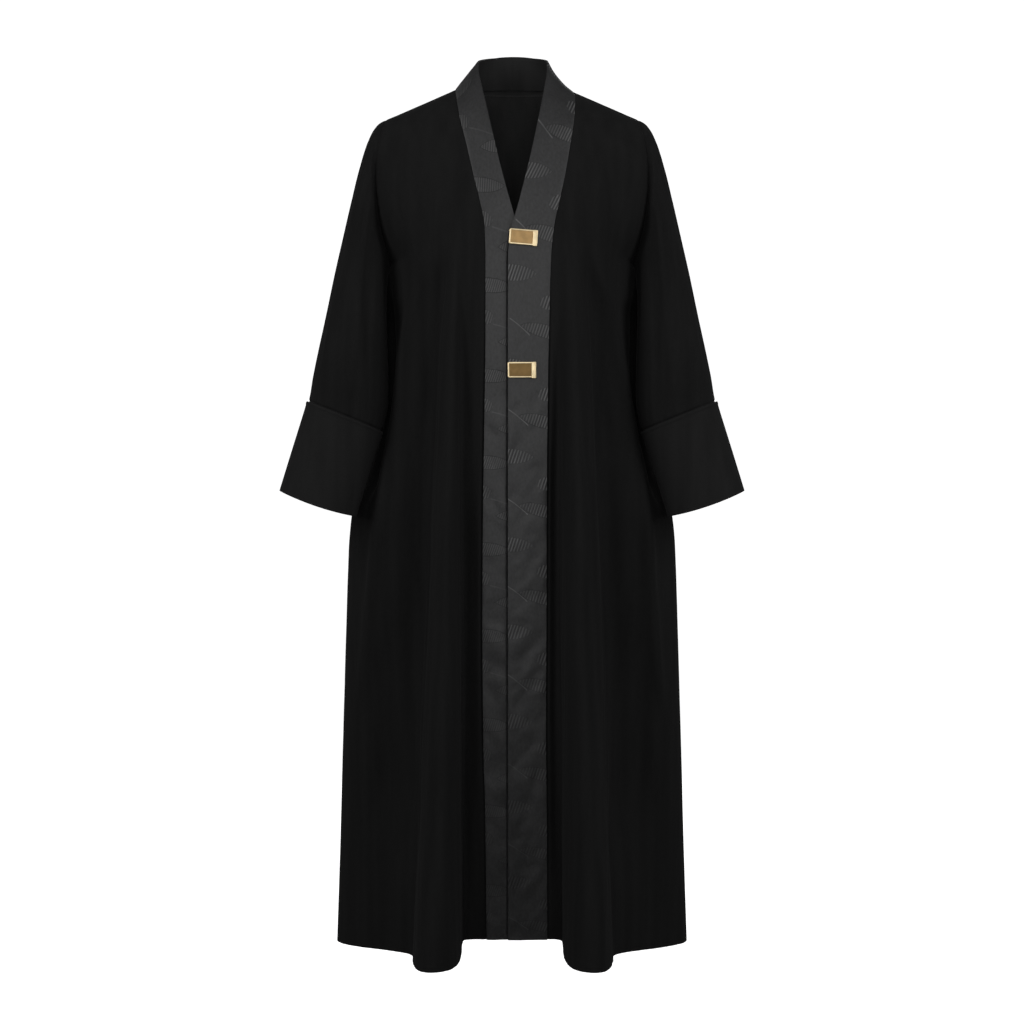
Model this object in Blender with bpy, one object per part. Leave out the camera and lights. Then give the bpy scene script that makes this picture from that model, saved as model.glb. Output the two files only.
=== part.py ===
"""An open-front abaya, filled out as it hangs from a wearer's shoulders.

Metres, +Z up, the front faces -Y and the wearer's left is +X. The origin is in the middle of the neck
opening, level with the top of the right shoulder seam. Every piece of cloth is a wall of its own real
thickness, placed row by row from the tables below, with a small gap at each seam.
"""

import math
from typing import NamedTuple

import bmesh
import bpy
import numpy as np
from mathutils import Matrix, Vector
from mathutils.kdtree import KDTree

# Cloth and seams
CREPE = 0.0013
BAND_CLOTH = 0.0020
CUFF_CLOTH = 0.0020
SEAM_GAP = 0.0003
SEAM_MATCH = 0.00001

# Heights
UNDERARM = -0.2873
HEM = -1.4220

# Shoulder, neck and armhole
SHOULDER_TIP = (0.2100, -0.0486)
UNDERARM_HALF_WIDTH = 0.2011
ARMHOLE_HALF_DEPTH = 0.062
ARMHOLE_BOW = 0.018
BACK_NECK_DEPTH = 0.062
BACK_NECK_HEIGHT = 0.014
BAND_TOP_DEPTH = 0.070
BAND_TOP_HEIGHT = 0.0718

# Cells of each grid
ROWS_BELOW_ARMS = 19
ROWS_AT_ARMHOLE = 9
FRONT_COLUMNS = (3, 11, 7)
BACK_COLUMNS = (4, 7, 3, 7, 4, 7, 3, 7, 4)
BACK_NECK_COLUMNS = 6
BACK_SHOULDER_COLUMNS = sum(BACK_COLUMNS) // 2 - BACK_NECK_COLUMNS
BAND_COLUMNS = 3
CUFF_ROWS = 4
FACING_LENGTH = BACK_NECK_COLUMNS + 4

# Section drawing
SECTION_SPACING = 0.004
SECTION_SMOOTHING = 4
BEND_WEIGHT = 0.035
TOP_ROW_TURN = math.radians(35)
FLARE_REACH = 0.028
COLUMN_SPREAD = 0.018
COLUMN_MARGIN = 0.014

# Where the hem rises beside the bands: its reach across the front and up a pipe's side
RISE_WIDTH = 0.10
RISE_FADE = 0.03
RISE_DEPTH = 0.06

# Clasps
CLASP_WIDTH = 0.045
CLASP_HEIGHT = 0.0255
CLASP_THICKNESS = 0.0026
CLASP_CORNER = 0.0028
CLASP_BEVEL = 0.0010
LIP_WIDTH = 0.0076
LIP_RISE = 0.0009
LIP_DROP = 0.0012
CLASP_CORNER_STEPS = 3
LIP_CORNER = 0.0014


class FrontStation(NamedTuple):
    """One place on a front's edge: the seam to the band, and the band's free edge across from it."""

    height: float
    forward: float
    seam: float
    edge: float
    edge_rise: float
    edge_forward: float
    sag: float


class BodyLevel(NamedTuple):
    """One level of the body below the arms. At squareness 1 the front's section is an ellipse."""

    height: float
    half_width: float
    side_set_back: float
    squareness: float


class BackStation(NamedTuple):
    """One place on the middle line of the back. The section there is an ellipse at 1 and squarer below it."""

    height: float
    depth: float
    squareness: float


class Pipe(NamedTuple):
    """A fold of the flared cloth that deepens down to the hem: its two sides at the top and at the hem.

    Its walls are steep where softness is low.
    """

    top: float
    near_at_top: float
    far_at_top: float
    near_at_hem: float
    far_at_hem: float
    depth: float
    growth: float
    flare: float
    softness: float


class Ridge(NamedTuple):
    """One place on the soft ridge that runs down from the armhole."""

    height: float
    across: float
    rise: float


class SleeveRing(NamedTuple):
    """One ring of the sleeve: the point on the overarm, the point under the arm, and its depth."""

    outer_x: float
    outer_z: float
    inner_x: float
    inner_z: float
    forward: float
    half_depth: float
    bow: float


class Piece(NamedTuple):
    """A piece of cloth: its points, its side, whether it is a tube, how thick it is and its material."""

    points: np.ndarray
    outward: int
    closed: bool
    thickness: float
    finish: bpy.types.Material


class Clasp(NamedTuple):
    """A clasp on the upper band: its middle, and how far it is turned."""

    name: str
    across: float
    height: float
    turn: float


RIGHT_FRONT = (
    FrontStation(0.0023, 0.0000, 0.0948, 0.0568, 0.0487, -0.0030, 0.0000),
    FrontStation(-0.0120, 0.0300, 0.0928, 0.0563, 0.0440, 0.0220, 0.0000),
    FrontStation(-0.0300, 0.0460, 0.0900, 0.0509, 0.0340, 0.0440, 0.0000),
    FrontStation(-0.0540, 0.0610, 0.0859, 0.0438, 0.0260, 0.0630, 0.0000),
    FrontStation(-0.1000, 0.0810, 0.0750, 0.0320, 0.0180, 0.0860, 0.0000),
    FrontStation(-0.1570, 0.0980, 0.0621, 0.0170, 0.0100, 0.1030, 0.0000),
    FrontStation(-0.2000, 0.1080, 0.0517, 0.0040, 0.0040, 0.1110, 0.0000),
    FrontStation(-0.2400, 0.1150, 0.0443, -0.0090, 0.0000, 0.1145, 0.0000),
    FrontStation(-0.2873, 0.1205, 0.0427, -0.0200, 0.0000, 0.1196, 0.0000),
    FrontStation(-0.4000, 0.1260, 0.0425, -0.0235, 0.0000, 0.1250, 0.0000),
    FrontStation(-0.7000, 0.1180, 0.0422, -0.0235, 0.0000, 0.1170, 0.0000),
    FrontStation(-1.0500, 0.0990, 0.0418, -0.0235, 0.0000, 0.0980, 0.0000),
    FrontStation(-1.4010, 0.0720, 0.0415, -0.0235, 0.0000, 0.0710, 0.0000),
)

LEFT_FRONT = (
    FrontStation(-0.0013, 0.0000, 0.1028, 0.0600, 0.0526, -0.0030, 0.0050),
    FrontStation(-0.0140, 0.0300, 0.1045, 0.0594, 0.0460, 0.0220, 0.0040),
    FrontStation(-0.0310, 0.0460, 0.1038, 0.0549, 0.0350, 0.0440, 0.0025),
    FrontStation(-0.0540, 0.0610, 0.1023, 0.0491, 0.0260, 0.0640, 0.0010),
    FrontStation(-0.1000, 0.0810, 0.0955, 0.0386, 0.0180, 0.0880, 0.0000),
    FrontStation(-0.1570, 0.0980, 0.0857, 0.0246, 0.0100, 0.1065, 0.0000),
    FrontStation(-0.2000, 0.1080, 0.0765, 0.0123, 0.0040, 0.1155, 0.0000),
    FrontStation(-0.2400, 0.1150, 0.0680, 0.0008, 0.0000, 0.1205, 0.0000),
    FrontStation(-0.2873, 0.1205, 0.0632, -0.0059, 0.0000, 0.1255, 0.0000),
    FrontStation(-0.4000, 0.1260, 0.0603, -0.0065, 0.0000, 0.1305, 0.0000),
    FrontStation(-0.7000, 0.1180, 0.0596, -0.0065, 0.0000, 0.1225, 0.0000),
    FrontStation(-1.0500, 0.0990, 0.0587, -0.0065, 0.0000, 0.1035, 0.0000),
    FrontStation(-1.4010, 0.0720, 0.0578, -0.0065, 0.0000, 0.0765, 0.0000),
)

BODY_LEVELS = (
    BodyLevel(HEM, 0.2945, 0.030, 1.00),
    BodyLevel(-1.2680, 0.2893, 0.028, 1.00),
    BodyLevel(-1.1000, 0.2846, 0.026, 1.00),
    BodyLevel(-0.9325, 0.2797, 0.025, 1.00),
    BodyLevel(-0.8486, 0.2773, 0.025, 1.00),
    BodyLevel(-0.7650, 0.2741, 0.026, 1.00),
    BodyLevel(-0.7350, 0.2721, 0.027, 1.00),
    BodyLevel(-0.7000, 0.2680, 0.028, 1.00),
    BodyLevel(-0.6560, 0.2505, 0.031, 1.00),
    BodyLevel(-0.6000, 0.2320, 0.034, 1.04),
    BodyLevel(-0.5300, 0.2205, 0.036, 1.10),
    BodyLevel(-0.4500, 0.2160, 0.036, 1.18),
    BodyLevel(-0.4000, 0.2145, 0.035, 1.22),
    BodyLevel(-0.3500, 0.2130, 0.033, 1.22),
    BodyLevel(-0.3100, 0.2090, 0.024, 1.17),
    BodyLevel(UNDERARM, UNDERARM_HALF_WIDTH, 0.000, 1.10),
)

BACK_LINE = (
    BackStation(0.0140, 0.0620, 1.00),
    BackStation(-0.0100, 0.0760, 1.00),
    BackStation(-0.0500, 0.0890, 1.00),
    BackStation(-0.1100, 0.1000, 0.97),
    BackStation(-0.1900, 0.1060, 0.86),
    BackStation(-0.2873, 0.1070, 0.62),
    BackStation(-0.3450, 0.1075, 0.75),
    BackStation(-0.4500, 0.1090, 0.80),
    BackStation(-0.7000, 0.1190, 0.85),
    BackStation(-1.0000, 0.1390, 0.90),
    BackStation(-1.2700, 0.1560, 0.90),
    BackStation(-1.4220, 0.1650, 0.90),
)

RIGHT_PIPE = Pipe(-0.25, 0.0857, 0.1020, 0.0800, 0.1610, 0.134, 1.15, 0.032, 0.5)
LEFT_PIPE = Pipe(-0.25, 0.0760, 0.1180, 0.0815, 0.1635, 0.134, 1.15, 0.032, 0.5)

BACK_PIPES = (
    Pipe(-0.42, -0.215, -0.165, -0.240, -0.160, 0.050, 1.3, 0.0, 1.2),
    Pipe(-0.30, -0.090, -0.040, -0.122, -0.040, 0.064, 1.2, 0.0, 1.2),
    Pipe(-0.34, 0.030, 0.080, 0.024, 0.108, 0.058, 1.2, 0.0, 1.2),
    Pipe(-0.45, 0.155, 0.210, 0.150, 0.236, 0.052, 1.3, 0.0, 1.2),
)

SIDE_RIDGE = (
    Ridge(-1.300, 0.240, 0.000),
    Ridge(-1.030, 0.234, 0.004),
    Ridge(-0.665, 0.212, 0.008),
    Ridge(-0.490, 0.180, 0.007),
    Ridge(-0.390, 0.172, 0.006),
    Ridge(-0.260, 0.150, 0.000),
)
SIDE_RIDGE_WIDTH = 0.020

SLEEVE_RINGS = (
    SleeveRing(*SHOULDER_TIP, UNDERARM_HALF_WIDTH, UNDERARM, 0.000, ARMHOLE_HALF_DEPTH, ARMHOLE_BOW),
    SleeveRing(0.2205, -0.0550, 0.2022, -0.2915, 0.000, 0.0632, 0.018),
    SleeveRing(0.2295, -0.0660, 0.2036, -0.2960, 0.000, 0.0645, 0.017),
    SleeveRing(0.2390, -0.0860, 0.2050, -0.3030, 0.001, 0.0660, 0.015),
    SleeveRing(0.2510, -0.1240, 0.2066, -0.3150, 0.003, 0.0675, 0.012),
    SleeveRing(0.2655, -0.1821, 0.2082, -0.3350, 0.007, 0.0690, 0.008),
    SleeveRing(0.2808, -0.2490, 0.2093, -0.3620, 0.012, 0.0700, 0.004),
    SleeveRing(0.2957, -0.3160, 0.2098, -0.3950, 0.018, 0.0695, 0.001),
    SleeveRing(0.3085, -0.3800, 0.2098, -0.4330, 0.025, 0.0680, 0.000),
    SleeveRing(0.3194, -0.4330, 0.2095, -0.4730, 0.032, 0.0650, 0.000),
    SleeveRing(0.3282, -0.4790, 0.2092, -0.5120, 0.038, 0.0605, 0.000),
)

CUFF_TOP = SleeveRing(0.3370, -0.5200, 0.2125, -0.5700, 0.045, 0.0550, 0.000)
CUFF_HEM = SleeveRing(0.3803, -0.6667, 0.2556, -0.7094, 0.062, 0.0560, 0.000)
CUFF_HEM_DIP = 0.004
SLEEVE_IN_CUFF = 0.05

CLASPS = (
    Clasp("clasp_upper", 0.0177, -0.2597, math.radians(4.0)),
    Clasp("clasp_lower", 0.0153, -0.4737, math.radians(-0.5)),
)


def smooth(knots, values, at):
    """Values of a smooth curve through the knots, with no overshoot between two knots that rise together."""
    knots = np.asarray(knots, float)
    values = np.asarray(values, float)
    if knots[0] > knots[-1]:
        knots = knots[::-1]
        values = values[::-1]
    at = np.clip(np.asarray(at, float), knots[0], knots[-1])
    steps = np.diff(knots)
    slopes = np.diff(values) / steps
    tangents = np.zeros(len(knots))
    tangents[0] = slopes[0]
    tangents[-1] = slopes[-1]
    same_way = slopes[:-1] * slopes[1:] > 0
    before = 2 * steps[1:] + steps[:-1]
    after = steps[1:] + 2 * steps[:-1]
    with np.errstate(divide="ignore", invalid="ignore"):
        mean = (before + after) / (before / slopes[:-1] + after / slopes[1:])
    tangents[1:-1] = np.where(same_way, mean, 0.0)
    cell = np.clip(np.searchsorted(knots, at, side="right") - 1, 0, len(steps) - 1)
    t = (at - knots[cell]) / steps[cell]
    start = values[cell] * (1 + 2 * t) * (1 - t) ** 2
    end = values[cell + 1] * t**2 * (3 - 2 * t)
    leave = tangents[cell] * steps[cell] * t * (1 - t) ** 2
    arrive = tangents[cell + 1] * steps[cell] * t**2 * (t - 1)
    return start + end + leave + arrive


def column(table, name):
    """One named column of a table."""
    return np.array([getattr(row, name) for row in table])


def lengths_along(points):
    """How far along the line each point is."""
    return np.concatenate([[0.0], np.cumsum(np.linalg.norm(np.diff(points, axis=0), axis=1))])


def spaced(points, count):
    """The line as count + 1 evenly spaced points."""
    along = lengths_along(points)
    wanted = np.linspace(0.0, along[-1], count + 1)
    return np.stack([np.interp(wanted, along, points[:, axis]) for axis in range(3)], axis=1)


def bent_lengths(points):
    """How far along the line each point is, where a bend counts as extra length, from 0 to 1."""
    steps = np.diff(points, axis=0)
    lengths = np.linalg.norm(steps, axis=1)
    headings = steps / lengths[:, None]
    turns = np.arccos(np.clip(np.sum(headings[:-1] * headings[1:], axis=1), -1.0, 1.0))
    lengths[:-1] += BEND_WEIGHT * turns / 2
    lengths[1:] += BEND_WEIGHT * turns / 2
    along = np.concatenate([[0.0], np.cumsum(lengths)])
    return along / along[-1]


def column_shares(points, pipes, height, counts):
    """Where the columns stand along a section, from 0 to 1: so many in each stretch between pipe sides."""
    along = bent_lengths(points)
    sides = []
    for pipe in pipes:
        near, far = pipe_sides(pipe, height)
        spread = COLUMN_SPREAD * (1 - pipe_share(pipe, height))
        sides += [near - spread, far + spread]
    sides = np.clip(sides, points[0, 0] + COLUMN_MARGIN, points[-1, 0] - COLUMN_MARGIN)
    ends = [0.0, *np.interp(sides, points[:, 0], along), 1.0]
    shares = []
    for first, last, count in zip(ends, ends[1:], counts):
        shares.append(np.linspace(first, last, count, endpoint=False))
    return np.concatenate([*shares, [1.0]])


def at_shares(points, shares):
    """The points of a line at these shares of its bent length."""
    along = bent_lengths(points)
    return np.stack([np.interp(shares, along, points[:, axis]) for axis in range(3)], axis=1)


def above_arms(row):
    """How far up the armhole a row is, from 0 at the underarm, and below it, to 1 at the shoulder."""
    return max(0.0, (row - ROWS_BELOW_ARMS) / ROWS_AT_ARMHOLE)


def softened(points, passes):
    """The line with its corners eased and its ends kept."""
    points = points.copy()
    for _ in range(passes):
        points[1:-1] = (points[:-2] + 2 * points[1:-1] + points[2:]) / 4
    return points


def front_lines(table):
    """The band's seam, its free edge and its sag for each row, from the hem up, on the +X side."""
    seam = np.stack([column(table, "seam"), -column(table, "forward"), column(table, "height")], axis=1)
    edge_height = column(table, "height") + column(table, "edge_rise")
    edge = np.stack([column(table, "edge"), -column(table, "edge_forward"), edge_height], axis=1)
    along = lengths_along(seam)
    at_underarm = np.interp(-UNDERARM, -seam[:, 2], along)
    below = np.linspace(along[-1], at_underarm, ROWS_BELOW_ARMS + 1)
    above = np.linspace(at_underarm, 0.0, ROWS_AT_ARMHOLE + 1)[1:]
    rows = np.concatenate([below, above])
    seam_rows = np.stack([smooth(along, seam[:, axis], rows) for axis in range(3)], axis=1)
    edge_rows = np.stack([smooth(along, edge[:, axis], rows) for axis in range(3)], axis=1)
    return seam_rows, edge_rows, smooth(along, column(table, "sag"), rows)


def ring(shape, angles, dip=0.0):
    """Points of one ring of the arm, from under the arm round the front to the overarm and back."""
    outer = np.array([shape.outer_x, -shape.forward, shape.outer_z])
    inner = np.array([shape.inner_x, -shape.forward, shape.inner_z])
    cosine = np.cos(angles)[:, None]
    sine = np.sin(angles)[:, None]
    points = (outer + inner) / 2 - (outer - inner) / 2 * cosine
    points += np.array([0.0, -shape.half_depth, 0.0]) * sine
    return points + np.array([shape.bow, 0.0, -dip]) * sine**2


def side_line(facing):
    """The side seam, then half of the armhole, from the hem up, on the +X side. facing is 1 in front."""
    heights = np.linspace(HEM, UNDERARM, ROWS_BELOW_ARMS + 1)
    widths = smooth(column(BODY_LEVELS, "height"), column(BODY_LEVELS, "half_width"), heights)
    set_back = smooth(column(BODY_LEVELS, "height"), column(BODY_LEVELS, "side_set_back"), heights)
    seam = np.stack([widths, set_back, heights], axis=1)
    angles = np.linspace(0.0, math.pi, ROWS_AT_ARMHOLE + 1)[1:]
    return np.concatenate([seam, ring(SLEEVE_RINGS[0], facing * angles)])


def row_turn(row):
    """How far round the section turns between the middle and the side: a quarter turn below the arms."""
    return math.pi / 2 + (TOP_ROW_TURN - math.pi / 2) * above_arms(row)


def section(middle, side, turn, squareness=1.0, count=120):
    """A rounded section from its middle point to its side point."""
    share = np.linspace(0.0, 1.0, count)
    across = (np.sin(turn * share) / math.sin(turn)) ** squareness
    depth = (np.cos(turn * share) - math.cos(turn)) / (1 - math.cos(turn))
    depth = np.clip(depth, 0.0, 1.0) ** squareness
    x = middle[0] + (side[0] - middle[0]) * across
    y = side[1] + (middle[1] - side[1]) * depth
    z = middle[2] + (side[2] - middle[2]) * across
    return np.stack([x, y, z], axis=1)


def pipe_share(pipe, height):
    """How far a pipe has grown at this height, from 0 at its top to 1 at the hem."""
    return min(1.0, max(0.0, (pipe.top - height) / (pipe.top - HEM)))


def pipe_sides(pipe, height):
    """Where the two sides of a pipe are at this height."""
    share = pipe_share(pipe, height)
    near = pipe.near_at_top + (pipe.near_at_hem - pipe.near_at_top) * share
    far = pipe.far_at_top + (pipe.far_at_hem - pipe.far_at_top) * share
    return near, far


def with_pipe(points, pipe, height, facing):
    """The section with a pipe raised on it, which flares out past its far side."""
    near, far = pipe_sides(pipe, height)
    grown = pipe_share(pipe, height) ** pipe.growth
    sweep = np.sin(np.linspace(-math.pi / 2, math.pi / 2, 41))
    across = (near + far) / 2 + (far - near) / 2 * sweep
    crest = (1 - np.abs(sweep) ** 3) ** pipe.softness
    rise = pipe.depth * crest + pipe.flare * (1 + sweep) / 2
    base_y = np.interp(across, points[:, 0], points[:, 1])
    base_z = np.interp(across, points[:, 0], points[:, 2])
    raised = np.stack([across, base_y - facing * grown * rise, base_z], axis=1)
    before = points[points[:, 0] < near]
    after = points[points[:, 0] > far]
    fade = np.exp((far - after[:, 0]) / FLARE_REACH)
    fade[-1] = 0.0
    after[:, 1] -= facing * grown * pipe.flare * fade
    return np.concatenate([before, raised, after])


def with_side_ridge(points, height):
    """The section with the soft ridge beside the sleeve."""
    across = smooth(column(SIDE_RIDGE, "height"), column(SIDE_RIDGE, "across"), height)
    rise = smooth(column(SIDE_RIDGE, "height"), column(SIDE_RIDGE, "rise"), height)
    points = points.copy()
    points[:-1, 1] -= rise * np.exp(-(((points[:-1, 0] - across) / SIDE_RIDGE_WIDTH) ** 2))
    return points


def evened(points):
    """The section at even spacing, with its corners eased."""
    count = int(lengths_along(points)[-1] / SECTION_SPACING)
    return softened(spaced(points, count), SECTION_SMOOTHING)


def front_panel(table, pipe):
    """The points of a front on the +X side: rows from the hem up, columns from the band seam to the side."""
    seam = front_lines(table)[0]
    side = side_line(1)
    levels = np.minimum(side[:, 2], UNDERARM)
    squareness = smooth(column(BODY_LEVELS, "height"), column(BODY_LEVELS, "squareness"), levels)
    even = np.linspace(0.0, 1.0, sum(FRONT_COLUMNS) + 1)
    rows = []
    for row, (middle, end) in enumerate(zip(seam, side)):
        if row > ROWS_BELOW_ARMS:
            eased = squareness[row] + (1 - squareness[row]) * above_arms(row)
            points = evened(section(middle, end, row_turn(row), eased))
            rows.append(at_shares(points, shares + (even - shares) * above_arms(row)))
            continue
        height = end[2]
        level = np.array([middle[0], middle[1], height])
        points = with_side_ridge(section(level, end, row_turn(row), squareness[row]), height)
        if pipe_share(pipe, height) > 0:
            points = with_pipe(points, pipe, height, 1)
        points = evened(points)
        shares = column_shares(points, [pipe], height, FRONT_COLUMNS)
        points = at_shares(points, shares)
        beside = np.clip((RISE_WIDTH - points[:, 0] + middle[0]) / RISE_FADE, 0.0, 1.0)
        low = np.clip(1 + (points[:, 1] - middle[1]) / RISE_DEPTH, 0.0, 1.0)
        points[:, 2] += (middle[2] - height) * beside * low
        rows.append(points)
    return np.array(rows)


def back_neck(table):
    """The back neck seam and the band's free edge there, from the middle of the back to the shoulder."""
    shoulder = table[0]
    angles = np.linspace(0.0, math.pi / 2, BACK_NECK_COLUMNS + 1)
    sine = np.sin(angles)
    cosine = np.cos(angles)
    seam_z = shoulder.height + (BACK_NECK_HEIGHT - shoulder.height) * cosine
    seam = np.stack([shoulder.seam * sine, BACK_NECK_DEPTH * cosine, seam_z], axis=1)
    top_z = shoulder.height + shoulder.edge_rise
    edge_y = -shoulder.edge_forward + (BAND_TOP_DEPTH + shoulder.edge_forward) * cosine
    edge_z = top_z + (BAND_TOP_HEIGHT - top_z) * cosine
    return seam, np.stack([shoulder.edge * sine, edge_y, edge_z], axis=1)


def mirrored(points):
    """The points on the other side of the body."""
    return points * np.array([-1.0, 1.0, 1.0])


def back_top_row():
    """The back's upper edge, from the right shoulder tip round the neck to the left tip."""
    halves = []
    for table in (RIGHT_FRONT, LEFT_FRONT):
        seam, _ = back_neck(table)
        tip = side_line(-1)[-1]
        shoulder = np.linspace(seam[-1], tip, BACK_SHOULDER_COLUMNS + 1)[1:]
        halves.append(np.concatenate([seam, shoulder]))
    return np.concatenate([mirrored(halves[0])[::-1], halves[1][1:]])


def back_section(row, side, middle, squareness):
    """The section of one row of the back, from the right side to the left."""
    half = section(middle, side, row_turn(row), squareness)
    points = np.concatenate([mirrored(half)[::-1], half[1:]])
    if row <= ROWS_BELOW_ARMS:
        for pipe in BACK_PIPES:
            if pipe_share(pipe, side[2]) > 0:
                points = with_pipe(points, pipe, side[2], -1)
    return evened(points)


def back_panel():
    """The points of the back: rows from the hem up, columns from the right side to the left."""
    side = side_line(-1)
    top_heights = np.linspace(UNDERARM, BACK_NECK_HEIGHT, ROWS_AT_ARMHOLE + 1)[1:]
    heights = np.concatenate([side[: ROWS_BELOW_ARMS + 1, 2], top_heights])
    depths = smooth(column(BACK_LINE, "height"), column(BACK_LINE, "depth"), heights)
    squareness = smooth(column(BACK_LINE, "height"), column(BACK_LINE, "squareness"), heights)
    even = np.linspace(0.0, 1.0, sum(BACK_COLUMNS) + 1)
    rows = []
    for row, end in enumerate(side):
        points = back_section(row, end, np.array([0.0, depths[row], heights[row]]), squareness[row])
        if row <= ROWS_BELOW_ARMS:
            shares = column_shares(points, BACK_PIPES, heights[row], BACK_COLUMNS)
        rows.append(at_shares(points, shares + (even - shares) * above_arms(row)))
    rows = np.array(rows)
    shift = back_top_row() - rows[-1]
    for row in range(ROWS_BELOW_ARMS, len(rows)):
        rows[row] += softened(shift, 3 * (len(rows) - 1 - row)) * above_arms(row) ** 2
    return rows


def band_panel(table):
    """The points of a band on the +X side: rows from the hem to the middle of the back, seam to free edge."""
    seam, edge, sag = front_lines(table)
    neck_seam, neck_edge = back_neck(table)
    neck_sag = table[0].sag * np.linspace(1.0, 0.0, BACK_NECK_COLUMNS + 1)
    seam = np.concatenate([seam, neck_seam[::-1][1:]])
    edge = np.concatenate([edge, neck_edge[::-1][1:]])
    sag = np.concatenate([sag, neck_sag[1:]])
    share = np.linspace(0.0, 1.0, BAND_COLUMNS + 1)
    points = seam[:, None] + (edge - seam)[:, None] * share[None, :, None]
    inward = np.cross(edge - seam, np.gradient(seam, axis=0))
    inward /= np.linalg.norm(inward, axis=1, keepdims=True)
    return points + inward[:, None] * sag[:, None, None] * (4 * share * (1 - share))[None, :, None]


def blended(first, second, share):
    """The ring between two rings."""
    return SleeveRing(*(a + (b - a) * share for a, b in zip(first, second)))


def drawn_in(shape, inset):
    """The ring made smaller all round."""
    outer = np.array([shape.outer_x, shape.outer_z])
    inner = np.array([shape.inner_x, shape.inner_z])
    across = (outer - inner) / np.linalg.norm(outer - inner) * inset
    outer = outer - across
    inner = inner + across
    return SleeveRing(*outer, *inner, shape.forward, shape.half_depth - inset, shape.bow)


def arm_angles():
    """The angles round an arm, which meet the rows of the front and back at the armhole."""
    return np.linspace(0.0, 2 * math.pi, 2 * ROWS_AT_ARMHOLE + 1)


def sleeve_panel():
    """The points of a sleeve on the +X side: rings from the armhole down to just inside the cuff."""
    inset = CUFF_CLOTH + SEAM_GAP
    rings = list(SLEEVE_RINGS)
    rings.append(drawn_in(CUFF_TOP, inset))
    rings.append(drawn_in(blended(CUFF_TOP, CUFF_HEM, SLEEVE_IN_CUFF), inset))
    return np.array([ring(shape, arm_angles()) for shape in rings])


def cuff_panel():
    """The points of a cuff on the +X side, from its top edge down."""
    rows = []
    for share in np.linspace(0.0, 1.0, CUFF_ROWS + 1):
        shape = blended(CUFF_TOP, CUFF_HEM, share)
        rows.append(ring(shape, arm_angles(), CUFF_HEM_DIP * share))
    return np.array(rows)


def grid_normals(points, closed):
    """The outward direction at each point of a grid. closed says that the columns run round a tube."""
    if closed:
        ring_points = points[:, :-1]
        across = np.roll(ring_points, -1, axis=1) - np.roll(ring_points, 1, axis=1)
        across = np.concatenate([across, across[:, :1]], axis=1)
    else:
        across = np.gradient(points, axis=1)
    up = np.gradient(points, axis=0)
    normals = np.cross(across, up)
    return normals / np.linalg.norm(normals, axis=2, keepdims=True)


def set_seam_normals(panels):
    """Squares the wall to the shoulder seams, and keeps it from leaning forward at the side seams."""
    for name, sides in (("front_right", [-1]), ("front_left", [-1]), ("back", [0, -1])):
        level = panels[name][1][: ROWS_BELOW_ARMS + 1, sides]
        level[:, :, 1] = 0.0
        level /= np.linalg.norm(level, axis=2, keepdims=True)
        panels[name][1][: ROWS_BELOW_ARMS + 1, sides] = level
    for table, sign in ((RIGHT_FRONT, -1), (LEFT_FRONT, 1)):
        neck = table[0]
        slope = math.atan2(neck.height - SHOULDER_TIP[1], SHOULDER_TIP[0] - neck.seam)
        square = np.array([math.sin(slope) * sign, 0.0, math.cos(slope)])
        for name in ("front_right", "front_left", "back"):
            points, normals = panels[name]
            normals[-1, points[-1, :, 0] * sign > neck.seam - SEAM_GAP] = square


def share_seam_normals(panels):
    """Gives neighbours one direction at each seam point, so that their walls are mitred there."""
    points = np.concatenate([panel[0].reshape(-1, 3) for panel in panels.values()])
    normals = np.concatenate([panel[1].reshape(-1, 3) for panel in panels.values()])
    tree = KDTree(len(points))
    for index, point in enumerate(points):
        tree.insert(point, index)
    tree.balance()
    shared = normals.copy()
    for index, point in enumerate(points):
        mean = np.mean([normals[found[1]] for found in tree.find_range(point, SEAM_MATCH)], axis=0)
        length = np.linalg.norm(mean)
        if length > 0.5:
            shared[index] = mean / length
    first = 0
    for name, (grid, _) in panels.items():
        last = first + grid.shape[0] * grid.shape[1]
        panels[name] = (grid, shared[first:last].reshape(grid.shape))
        first = last


def pulled_in(points, closed):
    """The grid drawn in from its edges by half of a seam's gap."""
    points = points.copy()
    half = SEAM_GAP / 2
    for edge, beside in ((0, 1), (-1, -2)):
        step = points[beside] - points[edge]
        points[edge] += step / np.linalg.norm(step, axis=1, keepdims=True) * half
        if not closed:
            step = points[:, beside] - points[:, edge]
            points[:, edge] += step / np.linalg.norm(step, axis=1, keepdims=True) * half
    return points


def material(name, colour, roughness, metallic=0.0):
    """A plain Principled material."""
    made = bpy.data.materials.new(name)
    made.use_nodes = True
    shader = made.node_tree.nodes["Principled BSDF"]
    shader.inputs["Base Color"].default_value = (*colour, 1.0)
    shader.inputs["Roughness"].default_value = roughness
    shader.inputs["Metallic"].default_value = metallic
    return made


def add_object(name, mesh_builder, finish, collection):
    """A mesh object of the bmesh, in the abaya's collection."""
    mesh = bpy.data.meshes.new(name)
    mesh_builder.to_mesh(mesh)
    mesh_builder.free()
    mesh.shade_smooth()
    mesh.set_sharp_from_angle(angle=math.radians(40))
    mesh.materials.append(finish)
    collection.objects.link(bpy.data.objects.new(name, mesh))


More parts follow.
